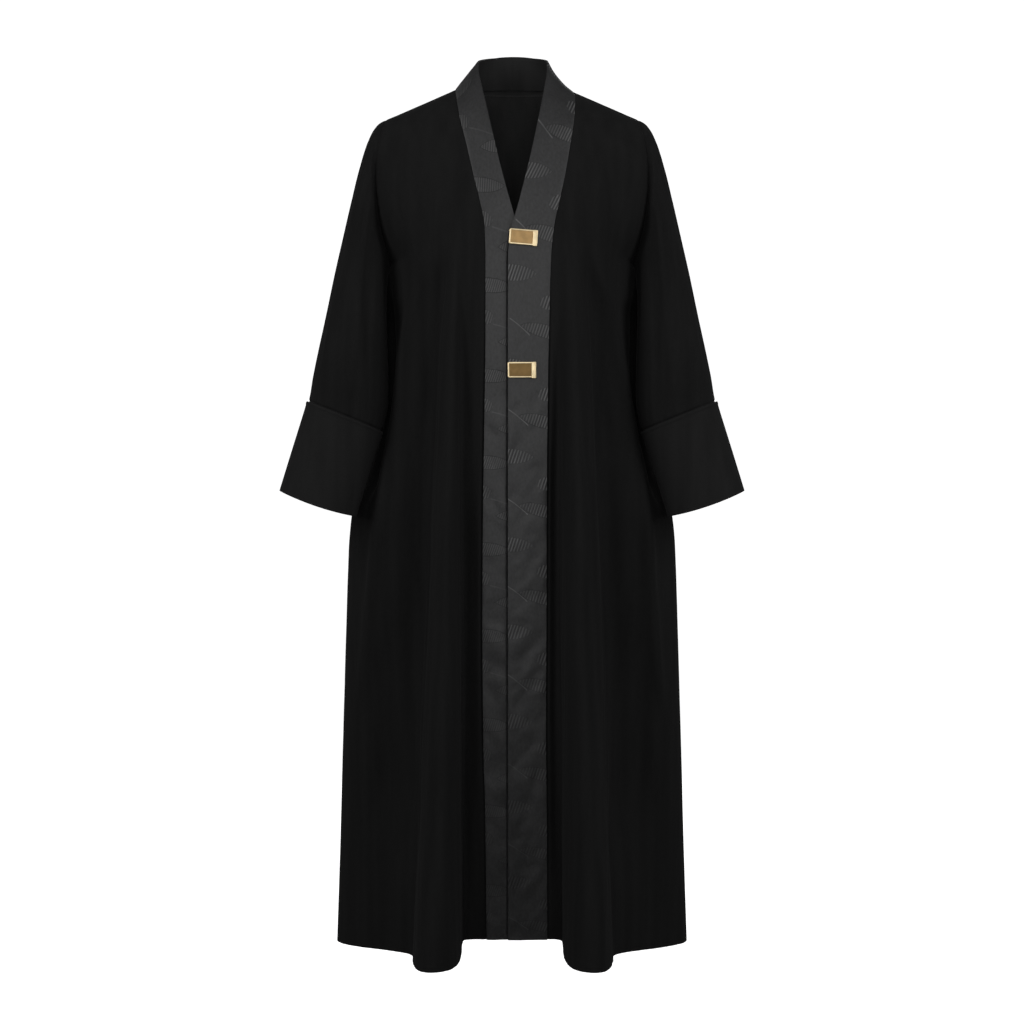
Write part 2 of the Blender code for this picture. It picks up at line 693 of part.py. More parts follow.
def cloth_wall(name, outside, inside, closed, finish, collection):
    """A piece of cloth: a grid on the outside points, given its thickness down to the inside points."""
    rows, columns = outside.shape[:2]
    build = bmesh.new()
    bmesh.ops.create_grid(build, x_segments=columns - 1, y_segments=rows - 1, size=1.0)
    place = build.verts.layers.int.new("place")
    for vert in build.verts:
        col = round((vert.co.x + 1) / 2 * (columns - 1))
        row = round((vert.co.y + 1) / 2 * (rows - 1))
        vert[place] = row * columns + col
        vert.co = outside[row, col]
    if closed:
        bmesh.ops.remove_doubles(build, verts=build.verts[:], dist=1e-6)
    made = bmesh.ops.extrude_face_region(build, geom=build.faces[:])
    for vert in (item for item in made["geom"] if isinstance(item, bmesh.types.BMVert)):
        vert.co = inside[divmod(vert[place], columns)]
    bmesh.ops.triangulate(build, faces=build.faces[:])
    bmesh.ops.recalc_face_normals(build, faces=build.faces[:])
    add_object(name, build, finish, collection)


def plate(name, width, height, thickness, corner, finish):
    """A plate with rounded corners and a bevelled face, its back at z = 0."""
    build = bmesh.new()
    bmesh.ops.create_grid(build, x_segments=1, y_segments=1, size=0.5)
    bmesh.ops.scale(build, vec=(width, height, 1.0), verts=build.verts[:])
    round_off = {"profile": 0.5, "material": -1}
    bmesh.ops.bevel(
        build, geom=build.verts[:], offset=corner, segments=CLASP_CORNER_STEPS, affect="VERTICES", **round_off
    )
    made = bmesh.ops.extrude_face_region(build, geom=build.faces[:])
    face = [item for item in made["geom"] if isinstance(item, bmesh.types.BMVert)]
    bmesh.ops.translate(build, vec=(0.0, 0.0, thickness), verts=face)
    rim = [edge for edge in build.edges if edge.verts[0] in face and edge.verts[1] in face]
    bmesh.ops.bevel(build, geom=rim, offset=CLASP_BEVEL, segments=2, affect="EDGES", **round_off)
    bmesh.ops.recalc_face_normals(build, faces=build.faces[:])
    mesh = bpy.data.meshes.new(name)
    build.to_mesh(mesh)
    build.free()
    mesh.materials.append(finish)
    return bpy.data.objects.new(name, mesh)


def on_band(band, across, height):
    """The point of the band's outside at this place, as seen from the front."""
    row = int(np.searchsorted(band[:, 1, 2], height))
    low = band[row - 1, [0, -1]]
    high = band[row, [0, -1]]
    seam, edge = low + (high - low) * (height - low[:, 2:]) / (high[:, 2:] - low[:, 2:])
    return seam + (edge - seam) * (across - seam[0]) / (edge[0] - seam[0])


def clasp_place(clasp, band):
    """The matrix that seats a clasp flat on the band, clear of it by a seam's gap."""
    reach = np.array([-0.5, 0.0, 0.5])
    spots = []
    for height in clasp.height + reach * CLASP_HEIGHT:
        for across in clasp.across + reach * CLASP_WIDTH:
            spots.append(on_band(band, across, height))
    middle = np.mean(spots, axis=0)
    normal = np.cross(spots[2] - spots[6], spots[8] - spots[0])
    normal /= np.linalg.norm(normal)
    lift = max((spot - middle) @ normal for spot in spots) + SEAM_GAP
    rest = Vector((0.0, -1.0, 0.0)).rotation_difference(Vector(normal)).to_matrix().to_4x4()
    upright = Matrix.Rotation(clasp.turn, 4, "Y") @ Matrix.Rotation(math.pi / 2, 4, "X")
    return Matrix.Translation(middle + normal * lift) @ rest @ upright


def add_clasp(clasp, band, finish, collection, helpers):
    """A bevelled plate with a raised lip at the wearer's left end, seated on the upper band."""
    body = plate(clasp.name, CLASP_WIDTH, CLASP_HEIGHT, CLASP_THICKNESS, CLASP_CORNER, finish)
    lip_height = CLASP_HEIGHT + LIP_DROP
    lip = plate(f"{clasp.name}_lip", LIP_WIDTH, lip_height, CLASP_THICKNESS + LIP_RISE, LIP_CORNER, finish)
    place = clasp_place(clasp, band)
    body.matrix_world = place
    lip_offset = ((CLASP_WIDTH - LIP_WIDTH) / 2 + LIP_RISE, -LIP_DROP / 2, 0.0)
    lip.matrix_world = place @ Matrix.Translation(lip_offset)
    lip.hide_render = True
    lip.display_type = "WIRE"
    collection.objects.link(body)
    helpers.objects.link(lip)
    join = body.modifiers.new("lip", "BOOLEAN")
    join.operation = "UNION"
    join.object = lip


def clear_scene():
    """Removes whatever the scene holds."""
    for old in list(bpy.data.objects):
        bpy.data.objects.remove(old)


def main():
    """Builds every piece."""
    clear_scene()
    collection = bpy.data.collections.new("abaya")
    helpers = bpy.data.collections.new("abaya_helpers")
    bpy.context.scene.collection.children.link(collection)
    bpy.context.scene.collection.children.link(helpers)
    crepe = material("black_crepe", (0.010, 0.010, 0.010), 0.85)
    satin = material("charcoal_satin", (0.045, 0.045, 0.046), 0.50)
    gold = material("brushed_gold", (0.62, 0.44, 0.20), 0.35, 1.0)

    pieces = {
        "front_right": Piece(mirrored(front_panel(RIGHT_FRONT, RIGHT_PIPE)), -1, False, CREPE, crepe),
        "front_left": Piece(front_panel(LEFT_FRONT, LEFT_PIPE), 1, False, CREPE, crepe),
        "back": Piece(back_panel(), -1, False, CREPE, crepe),
        "sleeve_right": Piece(mirrored(sleeve_panel()), 1, True, CREPE, crepe),
        "sleeve_left": Piece(sleeve_panel(), -1, True, CREPE, crepe),
        "band_right": Piece(mirrored(band_panel(RIGHT_FRONT)), 1, False, BAND_CLOTH, satin),
        "band_left": Piece(band_panel(LEFT_FRONT), -1, False, BAND_CLOTH, satin),
        "cuff_right": Piece(mirrored(cuff_panel()), 1, True, CUFF_CLOTH, crepe),
        "cuff_left": Piece(cuff_panel(), -1, True, CUFF_CLOTH, crepe),
    }
    panels = {}
    for name, piece in pieces.items():
        panels[name] = (piece.points, grid_normals(piece.points, piece.closed) * piece.outward)
    set_seam_normals(panels)
    share_seam_normals(panels)
    for name, piece in pieces.items():
        outside = pulled_in(piece.points, piece.closed)
        inside = pulled_in(piece.points - panels[name][1] * piece.thickness, piece.closed)
        cloth_wall(name, outside, inside, piece.closed, piece.finish, collection)

    for side in ("right", "left"):
        points, normals = panels[f"band_{side}"]
        points = points[-FACING_LENGTH:]
        normals = normals[-FACING_LENGTH:]
        outside = pulled_in(points - normals * (BAND_CLOTH + SEAM_GAP), False)
        inside = pulled_in(points - normals * (BAND_CLOTH + SEAM_GAP + CREPE), False)
        cloth_wall(f"facing_{side}", outside, inside, False, crepe, collection)

    for clasp in CLASPS:
        add_clasp(clasp, pieces["band_left"].points, gold, collection, helpers)


main()
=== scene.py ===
"""The looks of an open-front abaya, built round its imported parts.

Metres, +Z up, the front faces -Y. Each piece of cloth is a thin shell on the form of its solid, with the
small creases and the weave that the solid leaves out. Pieces are drawn at +X as grids of points, whose rows
run from the hem up, and then placed on their own side.
"""

import logging
import math
from dataclasses import dataclass
from enum import Enum
from typing import Callable, NamedTuple, Sequence

import bmesh
import bpy
import numpy as np
from mathutils import Matrix, Vector, noise


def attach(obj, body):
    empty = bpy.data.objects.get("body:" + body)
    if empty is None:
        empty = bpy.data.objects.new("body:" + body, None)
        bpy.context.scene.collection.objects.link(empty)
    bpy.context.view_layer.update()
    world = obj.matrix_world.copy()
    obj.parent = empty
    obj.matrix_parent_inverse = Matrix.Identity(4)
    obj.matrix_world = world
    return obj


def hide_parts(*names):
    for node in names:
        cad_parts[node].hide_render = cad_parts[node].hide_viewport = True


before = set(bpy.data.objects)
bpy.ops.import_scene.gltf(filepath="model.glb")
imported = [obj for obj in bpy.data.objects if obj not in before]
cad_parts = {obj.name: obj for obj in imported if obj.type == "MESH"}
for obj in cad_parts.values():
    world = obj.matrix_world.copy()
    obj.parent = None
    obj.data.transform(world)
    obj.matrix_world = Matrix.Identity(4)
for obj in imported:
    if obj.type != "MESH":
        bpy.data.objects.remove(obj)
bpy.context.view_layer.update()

Array = np.ndarray
Material = bpy.types.Material
Colour = tuple[float, float, float]

LOG = logging.getLogger("abaya")

CREPE = 0.0013
BAND_CLOTH = 0.0020
CUFF_CLOTH = 0.0020
SEAM_GAP = 0.0003
BORDER = 0.0005
UNDERARM = -0.2873
HEM = -1.4220
UNDERARM_HALF_WIDTH = 0.2011
BACK_NECK_DEPTH = 0.062
BACK_NECK_HEIGHT = 0.014
BAND_TOP_DEPTH = 0.070
BAND_TOP_HEIGHT = 0.0718
ROWS_BELOW_ARMS = 19
ROWS_AT_ARMHOLE = 9
FRONT_COLUMNS = (3, 11, 7)
BACK_COLUMNS = (4, 7, 3, 7, 4, 7, 3, 7, 4)
BACK_NECK_COLUMNS = 6
BACK_SHOULDER_COLUMNS = sum(BACK_COLUMNS) // 2 - BACK_NECK_COLUMNS
SECTION_POINTS = 120
PIPE_POINTS = 41
ARMHOLE_POINTS = 73
SECTION_SPACING = 0.004
SECTION_SMOOTHING = 4
BEND_WEIGHT = 0.035
TOP_ROW_TURN = math.radians(35)
FLARE_REACH = 0.028
COLUMN_SPREAD = 0.018
COLUMN_MARGIN = 0.014
RISE_WIDTH = 0.10
RISE_FADE = 0.03
RISE_DEPTH = 0.06
SIDE_RIDGE_WIDTH = 0.020
ARMHOLE_SINK = 0.010
ARMHOLE_SEAM_SINK = 0.0022
ARMHOLE_SINK_WIDTH = 0.008
ARMHOLE_SINK_ENDS = (0.004, 0.022)
UNDERARM_REACH = (0.02, 0.07)
BROAD_FOLD = 0.018
SEAM_DIP = 0.0006
SEAM_WIDTH = 0.0022

# New cells for each cell of the solids' grids
FINE_BELOW_ARMS = 10
FINE_AT_ARMHOLE = 6
FINE_FRONT = 5
FINE_BACK = 4
FINE_NECK = 6
FINE_ARM = 9
FINE_ROWS = (FINE_BELOW_ARMS,) * ROWS_BELOW_ARMS + (FINE_AT_ARMHOLE,) * ROWS_AT_ARMHOLE
ALL_BELOW_ARMS = ROWS_BELOW_ARMS * FINE_BELOW_ARMS
ALL_AT_ARMHOLE = ROWS_AT_ARMHOLE * FINE_AT_ARMHOLE


class Side(Enum):
    """The wearer's side, as the sign of X."""

    RIGHT = -1
    LEFT = 1

    @property
    def word(self) -> str:
        """The side's name in lower case."""
        return self.name.lower()

    def placed(self, points: Array) -> Array:
        """The points on this side of the body, from points at +X."""
        return points * np.array([self.value, 1.0, 1.0])


def column(table: Sequence[NamedTuple], name: str) -> Array:
    """One named column of a table."""
    return np.array([getattr(row, name) for row in table])


def smooth(knots: Array, values: Array, at: Array) -> Array:
    """Reads a smooth curve through the knots, with no overshoot between two knots that rise together.

    Args:
        knots: places of the knots, all rising or all falling.
        values: the curve's value at each knot.
        at: places to read.

    Returns:
        The curve's value at each place.
    """
    if knots[0] > knots[-1]:
        knots, values = knots[::-1], values[::-1]
    at = np.clip(np.asarray(at, float), knots[0], knots[-1])
    steps = np.diff(knots)
    slopes = np.diff(values) / steps
    tangents = np.zeros(len(knots))
    tangents[0], tangents[-1] = slopes[0], slopes[-1]
    before = 2 * steps[1:] + steps[:-1]
    after = steps[1:] + 2 * steps[:-1]
    with np.errstate(divide="ignore", invalid="ignore"):
        mean = (before + after) / (before / slopes[:-1] + after / slopes[1:])
    tangents[1:-1] = np.where(slopes[:-1] * slopes[1:] > 0, mean, 0.0)
    cell = np.clip(np.searchsorted(knots, at, side="right") - 1, 0, len(steps) - 1)
    t = (at - knots[cell]) / steps[cell]
    start = values[cell] * (1 + 2 * t) * (1 - t) ** 2
    end = values[cell + 1] * t**2 * (3 - 2 * t)
    leave = tangents[cell] * steps[cell] * t * (1 - t) ** 2
    return start + end + leave + tangents[cell + 1] * steps[cell] * t**2 * (t - 1)


def curve(table: Sequence[NamedTuple], name: str, heights: Array) -> Array:
    """One column of a table at any heights, on a smooth curve through its rows."""
    return smooth(column(table, "height"), column(table, name), heights)


def eased(value: Array, low: float, high: float) -> Array:
    """A soft step from 0 at low to 1 at high."""
    t = np.clip((value - low) / (high - low), 0.0, 1.0)
    return t * t * (3 - 2 * t)


def bell(away: Array, width: float) -> Array:
    """A smooth bump, 1 at nought and faded at about twice its width."""
    return np.exp(-((away / width) ** 2))


def lengths_along(points: Array) -> Array:
    """How far along the line each point is."""
    return np.concatenate([[0.0], np.cumsum(np.linalg.norm(np.diff(points, axis=0), axis=1))])


def measured(points: Array) -> tuple[Array, Array]:
    """How far along its row, and along its column, each point of a grid is."""
    across, along = ([lengths_along(line) for line in grid] for grid in (points, points.swapaxes(0, 1)))
    return np.stack(across), np.stack(along, axis=1)


def read_line(points: Array, along: Array, places: Array) -> Array:
    """The points at these places of a line, whose own points are at the places in along."""
    return np.stack([np.interp(places, along, points[:, axis]) for axis in range(3)], axis=-1)


def bent_lengths(points: Array) -> Array:
    """Measures along a line, with a bend counted as extra length.

    Args:
        points: the line's points.

    Returns:
        How far along each point is, from 0 to 1.
    """
    steps = np.diff(points, axis=0)
    lengths = np.linalg.norm(steps, axis=1)
    headings = steps / lengths[:, None]
    turns = np.arccos(np.clip(np.sum(headings[:-1] * headings[1:], axis=1), -1.0, 1.0))
    lengths[:-1] += BEND_WEIGHT * turns / 2
    lengths[1:] += BEND_WEIGHT * turns / 2
    along = np.concatenate([[0.0], np.cumsum(lengths)])
    return along / along[-1]


def at_shares(points: Array, shares: Array) -> Array:
    """The points of a line at these shares of its bent length."""
    return read_line(points, bent_lengths(points), shares)


def above_arms(row: int) -> float:
    """How far up the armhole a row is, from 0 at the underarm, and below it, to 1 at the shoulder."""
    return max(0.0, (row - ROWS_BELOW_ARMS) / ROWS_AT_ARMHOLE)


def row_turn(row: int) -> float:
    """How far round a section turns between the middle and the side."""
    return math.pi / 2 + (TOP_ROW_TURN - math.pi / 2) * above_arms(row)


def softened(points: Array, passes: int) -> Array:
    """Eases a line's corners and keeps its ends.

    Args:
        points: the line's points.
        passes: how many times each point moves towards its neighbours.

    Returns:
        The eased line.
    """
    points = points.copy()
    for _ in range(passes):
        points[1:-1] = (points[:-2] + 2 * points[1:-1] + points[2:]) / 4
    return points


def evened(points: Array) -> Array:
    """Spaces a section's points evenly and eases its corners.

    Args:
        points: the section's points.

    Returns:
        The new points.
    """
    along = lengths_along(points)
    wanted = np.linspace(0.0, along[-1], int(along[-1] / SECTION_SPACING) + 1)
    return softened(read_line(points, along, wanted), SECTION_SMOOTHING)


def refined(points: Array, steps: Sequence[int], axis: int = 0) -> Array:
    """Adds rows or columns to a grid, on smooth curves through the old ones.

    Args:
        points: the grid's points, by row and column.
        steps: how many new cells stand for each old one.
        axis: 0 adds rows and 1 adds columns.

    Returns:
        The finer grid, which holds every point of the old one.
    """
    grid = np.moveaxis(points, axis, 0)
    chords = np.maximum(np.linalg.norm(np.diff(grid, axis=0), axis=2), 1e-6)[..., None]
    slopes = np.diff(grid, axis=0) / chords
    tangents = np.empty_like(grid)
    tangents[1:-1] = (slopes[:-1] * chords[1:] + slopes[1:] * chords[:-1]) / (chords[:-1] + chords[1:])
    tangents[0] = 2 * slopes[0] - tangents[1]
    tangents[-1] = 2 * slopes[-1] - tangents[-2]
    parts = [grid[:1]]
    for cell, count in enumerate(steps):
        t = (np.arange(1, count + 1) / count)[:, None, None]
        start = grid[cell] * (1 + 2 * t) * (1 - t) ** 2 + grid[cell + 1] * t**2 * (3 - 2 * t)
        bend = tangents[cell] * (1 - t) - tangents[cell + 1] * t
        parts.append(start + bend * chords[cell] * t * (1 - t))
    return np.moveaxis(np.concatenate(parts), 0, axis)


def grid_normals(points: Array, closed: bool) -> Array:
    """Finds the direction that each point of a grid faces.

    Args:
        points: the grid's points, by row and column.
        closed: whether the columns run round a tube.

    Returns:
        A unit vector for each point.
    """
    across = np.gradient(points, axis=1)
    if closed:
        inner = points[:, :-1]
        across = np.roll(inner, -1, axis=1) - np.roll(inner, 1, axis=1)
        across = np.concatenate([across, across[:, :1]], axis=1)
    normals = np.cross(across, np.gradient(points, axis=0))
    return normals / np.linalg.norm(normals, axis=2, keepdims=True)


def bordered(points: Array, axis: int) -> Array:
    """Adds a line of points close to both ends of a grid, which keeps its borders crisp.

    Args:
        points: the grid's points, with anything else that goes with them after the third number.
        axis: which way the lines are counted.

    Returns:
        The grid with two more lines.
    """
    grid = np.moveaxis(points, axis, 0)
    added = []
    for end, inner in ((grid[0], grid[1]), (grid[-1], grid[-2])):
        apart = np.linalg.norm((inner - end)[..., :3], axis=-1, keepdims=True)
        added.append(end + (inner - end) * BORDER / np.maximum(apart, 3 * BORDER))
    return np.moveaxis(np.concatenate([grid[:1], added[:1], grid[1:-1], added[1:], grid[-1:]]), 0, axis)


def noise_grid(across: Array, along: Array, seed: float) -> Array:
    """Smooth noise from about -1 to 1, read at two coordinates in noise cells and a slice that seed picks."""
    flat = zip(across.ravel(), along.ravel())
    return np.array([noise.noise(Vector((a, b, seed))) for a, b in flat]).reshape(across.shape)


class FrontStation(NamedTuple):
    """One place on a front's edge: the seam to the band, and the band's free edge across from it."""

    height: float
    forward: float
    seam: float
    edge: float
    edge_rise: float
    edge_forward: float
    sag: float


class BodyLevel(NamedTuple):
    """One level of the body below the arms. At squareness 1 the front's section is an ellipse."""

    height: float
    half_width: float
    side_set_back: float
    squareness: float


class BackStation(NamedTuple):
    """One place on the middle line of the back."""

    height: float
    depth: float
    squareness: float


class Ridge(NamedTuple):
    """One place on the soft ridge that runs down from the armhole."""

    height: float
    across: float
    rise: float


class MotifStation(NamedTuple):
    """How many repeats of the motif lie between this height and the first leaf under the neck."""

    height: float
    repeats: float


class Leaf(NamedTuple):
    """One hatched leaf of a band's repeat. Its base and tip are measured from the band's seam."""

    base: float
    tip: float
    half_height: float
    droop: float
    pitch: float
    place: float
    light: float
    outline: float


class Stem(NamedTuple):
    """One thin light stem of a band's repeat, which falls from its start to its end."""

    start: float
    end: float
    fall: float
    place: float
    light: float


class Pipe(NamedTuple):
    """A fold of the flared cloth that deepens down to the hem."""

    top: float
    near_at_top: float
    far_at_top: float
    near_at_hem: float
    far_at_hem: float
    depth: float
    flare: float
    growth: float
    softness: float

    def share(self, height: float) -> float:
        """How far it has grown at this height, from 0 at its top to 1 at the hem."""
        return min(1.0, max(0.0, (self.top - height) / (self.top - HEM)))

    def sides(self, height: float) -> tuple[float, ...]:
        """Where its near side and its far side are at this height."""
        ends = ((self.near_at_top, self.near_at_hem), (self.far_at_top, self.far_at_hem))
        return tuple(top + (hem - top) * self.share(height) for top, hem in ends)

    def raised(self, points: Array, height: float, facing: int) -> Array:
        """Raises the pipe on a section, which flares out past the pipe's far side.

        Args:
            points: the section's points.
            height: the section's height.
            facing: 1 at the front and -1 at the back.

        Returns:
            The section with the pipe.
        """
        near, far = self.sides(height)
        grown = self.share(height) ** self.growth
        sweep = np.sin(np.linspace(-math.pi / 2, math.pi / 2, PIPE_POINTS))
        across = (near + far) / 2 + (far - near) / 2 * sweep
        rise = self.depth * (1 - np.abs(sweep) ** 3) ** self.softness + self.flare * (1 + sweep) / 2
        raised = read_line(points, points[:, 0], across)
        raised[:, 0] = across
        raised[:, 1] -= facing * grown * rise
        after = points[points[:, 0] > far]
        fade = np.exp((far - after[:, 0]) / FLARE_REACH)
        fade[-1] = 0.0
        after[:, 1] -= facing * grown * self.flare * fade
        return np.concatenate([points[points[:, 0] < near], raised, after])


class ArmRing(NamedTuple):
    """One ring of the sleeve: the point on the overarm, the point under the arm, and its depth."""

    outer_x: float
    outer_z: float
    inner_x: float
    inner_z: float
    forward: float
    half_depth: float
    bow: float

    def line(self, angles: Array, dip: float = 0.0, squareness: float = 1.0) -> Array:
        """Draws the ring, from under the arm round the front to the overarm and back.

        Args:
            angles: where its points are.
            dip: how far the front and back of the ring hang below its ends.
            squareness: 1 for an ellipse, less for a ring with a flatter front and back.

        Returns:
            The ring's points.
        """
        outer = np.array([self.outer_x, -self.forward, self.outer_z])
        inner = np.array([self.inner_x, -self.forward, self.inner_z])
        sine = np.sin(angles)[:, None]
        points = (outer + inner) / 2 - (outer - inner) / 2 * np.cos(angles)[:, None]
        points += np.array([0.0, -self.half_depth, 0.0]) * np.sign(sine) * np.abs(sine) ** squareness
        return points + np.array([self.bow, 0.0, -dip]) * sine**2


class Crease(NamedTuple):
    """A soft ridge, or a trough where its rise is below nought, along points seen from the front."""

    width: float
    rise: float
    fade: float
    path: Array

    def lift(self, points: Array) -> Array:
        """Works out how far the crease lifts each point of a grid, as seen from the front.

        Args:
            points: the grid's points, by row and column.

        Returns:
            The lift of each point.
        """
        spots = points[..., [0, 2]]
        reached = lengths_along(self.path)
        nearest = np.full(spots.shape[:2], np.inf)
        along = np.zeros(spots.shape[:2])
        for start, end, first in zip(self.path, self.path[1:], reached):
            span = end - start
            t = np.clip((spots - start) @ span / (span @ span), 0.0, 1.0)
            away = np.linalg.norm(spots - start - t[..., None] * span, axis=2)
            along = np.where(away < nearest, first + t * np.linalg.norm(span), along)
            nearest = np.minimum(nearest, away)
        fade = self.fade * reached[-1]
        taper = eased(along, 0.0, fade) * eased(reached[-1] - along, 0.0, fade)
        return self.rise * taper * bell(nearest, self.width)


def table(kind: type, ratios: int, *rows: tuple) -> tuple:
    """A table from rows in millimetres, whose last few columns are ratios."""
    lengths = len(kind._fields) - ratios
    return tuple(kind(*(length / 1000 for length in row[:lengths]), *row[lengths:]) for row in rows)


def creases(*rows: tuple) -> tuple[Crease, ...]:
    """Creases from rows in millimetres: the width, the rise, the ratio that fades out and the path's points."""
    return tuple(Crease(row[0] / 1000, row[1] / 1000, row[2], np.array(row[3:]) / 1000) for row in rows)


FRONTS = {
    Side.RIGHT: table(
        FrontStation, 0,
        (2.3, 0, 94.8, 56.8, 48.7, -3, 0),
        (-12, 30, 92.8, 56.3, 44, 22, 0),
        (-30, 46, 90, 50.9, 34, 44, 0),
        (-54, 61, 85.9, 43.8, 26, 63, 0),
        (-100, 81, 75, 32, 18, 86, 0),
        (-157, 98, 62.1, 17, 10, 103, 0),
        (-200, 108, 51.7, 4, 4, 111, 0),
        (-240, 115, 44.3, -9, 0, 114.5, 0),
        (-287.3, 120.5, 42.7, -20, 0, 119.6, 0),
        (-400, 126, 42.6, -23.5, 0, 125, 0),
        (-550, 123.5, 44.4, -23.5, 0, 122.5, 0),
        (-700, 118, 46.8, -23.5, 0, 117, 0),
        (-880, 109, 48, -23.5, 0, 108, 0),
        (-1050, 99, 47, -23.5, 0, 98, 0),
        (-1200, 88.5, 43.6, -23.5, 0, 87.5, 0),
        (-1401, 72, 41.6, -23.5, 0, 71, 0),
    ),
    Side.LEFT: table(
        FrontStation, 0,
        (-1.3, 0, 102.8, 60, 52.6, -3, 5),
        (-14, 30, 104.5, 59.4, 46, 22, 4),
        (-31, 46, 103.8, 54.9, 35, 44, 2.5),
        (-54, 61, 102.3, 49.1, 26, 64, 1),
        (-100, 81, 95.5, 38.6, 18, 88, 0),
        (-157, 98, 85.7, 24.6, 10, 106.5, 0),
        (-200, 108, 76.5, 12.3, 4, 115.5, 0),
        (-240, 115, 68, 0.8, 0, 120.5, 0),
        (-287.3, 120.5, 63.2, -5.9, 0, 125.5, 0),
        (-400, 126, 59.8, -6.5, 0, 130.5, 0),
        (-550, 123.5, 57.2, -6.5, 0, 128, 0),
        (-700, 118, 56.1, -6.5, 0, 122.5, 0),
        (-880, 109, 55.8, -6.5, 0, 113.5, 0),
        (-1050, 99, 55.2, -6.5, 0, 103.5, 0),
        (-1200, 88.5, 56.6, -6.5, 0, 93, 0),
        (-1401, 72, 57.8, -6.5, 0, 76.5, 0),
    ),
}

BODY_LEVELS = table(
    BodyLevel, 1,
    (-1422, 294.5, 30, 1),
    (-1268, 289.3, 28, 1),
    (-1100, 284.6, 26, 1),
    (-932.5, 279.7, 25, 1),
    (-848.6, 277.3, 25, 1),
    (-765, 274.1, 26, 1),
    (-735, 272.1, 27, 1),
    (-700, 268, 28, 1),
    (-656, 250.5, 31, 1),
    (-600, 232, 34, 1.04),
    (-530, 220.5, 36, 1.1),
    (-450, 216, 36, 1.18),
    (-400, 214.5, 35, 1.22),
    (-350, 213, 33, 1.22),
    (-310, 209, 24, 1.17),
    (-287.3, 201.1, 0, 1.1),
)

BACK_LINE = table(
    BackStation, 1,
    (14, 62, 1),
    (-10, 76, 1),
    (-50, 89, 1),
    (-110, 100, 0.97),
    (-190, 106, 0.86),
    (-287.3, 107, 0.62),
    (-345, 107.5, 0.75),
    (-450, 109, 0.8),
    (-700, 119, 0.85),
    (-1000, 139, 0.9),
    (-1270, 156, 0.9),
    (-1422, 165, 0.9),
)

SIDE_RIDGE = table(
    Ridge, 0,
    (-1300, 240, 0),
    (-1030, 234, 4),
    (-665, 212, 8),
    (-490, 180, 7),
    (-390, 172, 6),
    (-260, 150, 0),
)

RIGHT_PIPE, LEFT_PIPE = table(
    Pipe, 2,
    (-250, 85.7, 102, 80, 161, 134, 32, 1.15, 0.5),
    (-250, 76, 118, 81.5, 163.5, 134, 32, 1.15, 0.5),
)
PIPES = {Side.RIGHT: RIGHT_PIPE, Side.LEFT: LEFT_PIPE}

BACK_PIPES = table(
    Pipe, 2,
    (-420, -215, -165, -240, -160, 50, 0, 1.3, 1.2),
    (-300, -90, -40, -122, -40, 64, 0, 1.2, 1.2),
    (-340, 30, 80, 24, 108, 58, 0, 1.2, 1.2),
    (-450, 155, 210, 150, 236, 52, 0, 1.3, 1.2),
)

# The first ring is the armhole
ARM_RINGS = table(
    ArmRing, 0,
    (210, -48.6, 201.1, -287.3, 0, 62, 18),
    (220.5, -55, 202.2, -291.5, 0, 63.2, 18),
    (229.5, -66, 203.6, -296, 0, 64.5, 17),
    (239, -86, 205, -303, 1, 66, 15),
    (251, -124, 206.6, -315, 3, 67.5, 12),
    (265.5, -182.1, 208.2, -335, 7, 69, 8),
    (280.8, -249, 209.3, -362, 12, 70, 4),
    (295.7, -316, 209.8, -395, 18, 69.5, 1),
    (308.5, -380, 209.8, -433, 25, 68, 0),
    (319.4, -433, 209.5, -473, 32, 65, 0),
    (328.2, -479, 209.2, -512, 38, 60.5, 0),
)
ARMHOLE = ARM_RINGS[0]

CUFF_TOP, CUFF_HEM = table(
    ArmRing, 0,
    (337, -520, 212.5, -570, 45, 55, 0),
    (380.3, -666.7, 255.6, -709.4, 62, 56, 0),
)
CUFF_HEM_DIP = 0.004
SLEEVE_IN_CUFF = 0.05

CLASP_WIDTH = 0.045
CLASP_HEIGHT = 0.0255
CLASP_THICKNESS = 0.0026
CLASP_CORNER = 0.0028
LIP_WIDTH = 0.0076
LIP_RISE = 0.0009
LIP_DROP = 0.0012
LIP_CORNER = 0.0014

MOTIFS = {
    Side.RIGHT: table(
        MotifStation, 1,
        (0, -2.05),
        (-171.5, -1),
        (-337, 0),
        (-622, 2),
        (-902, 4),
        (-1188, 6),
        (-1401, 7.64),
    ),
    Side.LEFT: table(
        MotifStation, 1,
        (12, -2),
        (-149, -1),
        (-317, 0),
        (-612, 2),
        (-895, 4),
        (-1180, 6),
        (-1401, 7.8),
    ),
}

LEAVES = {
    Side.RIGHT: table(
        Leaf, 3,
        (-1, 47, 11.7, 3, 3.6, 0, 0.6, 0.8),
        (-1, 15, 12, 2, 4.2, 0.34, 0.7, 0.5),
        (69, 19, 11.8, 1, 3.8, 0.61, 0.85, 0.8),
    ),
    Side.LEFT: table(
        Leaf, 3,
        (69, 19.8, 12.9, 2, 5.2, 0, 1, 0.35),
        (-1, 18, 11.5, 1, 5.2, 0.31, 1.1, 0),
        (-1, 48, 11.1, -11, 4.8, 0.63, 0.8, 0.6),
    ),
}

STEMS = {
    Side.RIGHT: table(Stem, 2, (12, 56, 14, 0.42, 0.3)),
    Side.LEFT: table(Stem, 2, (64, 30.6, 26.2, 0.48, 1)),
}

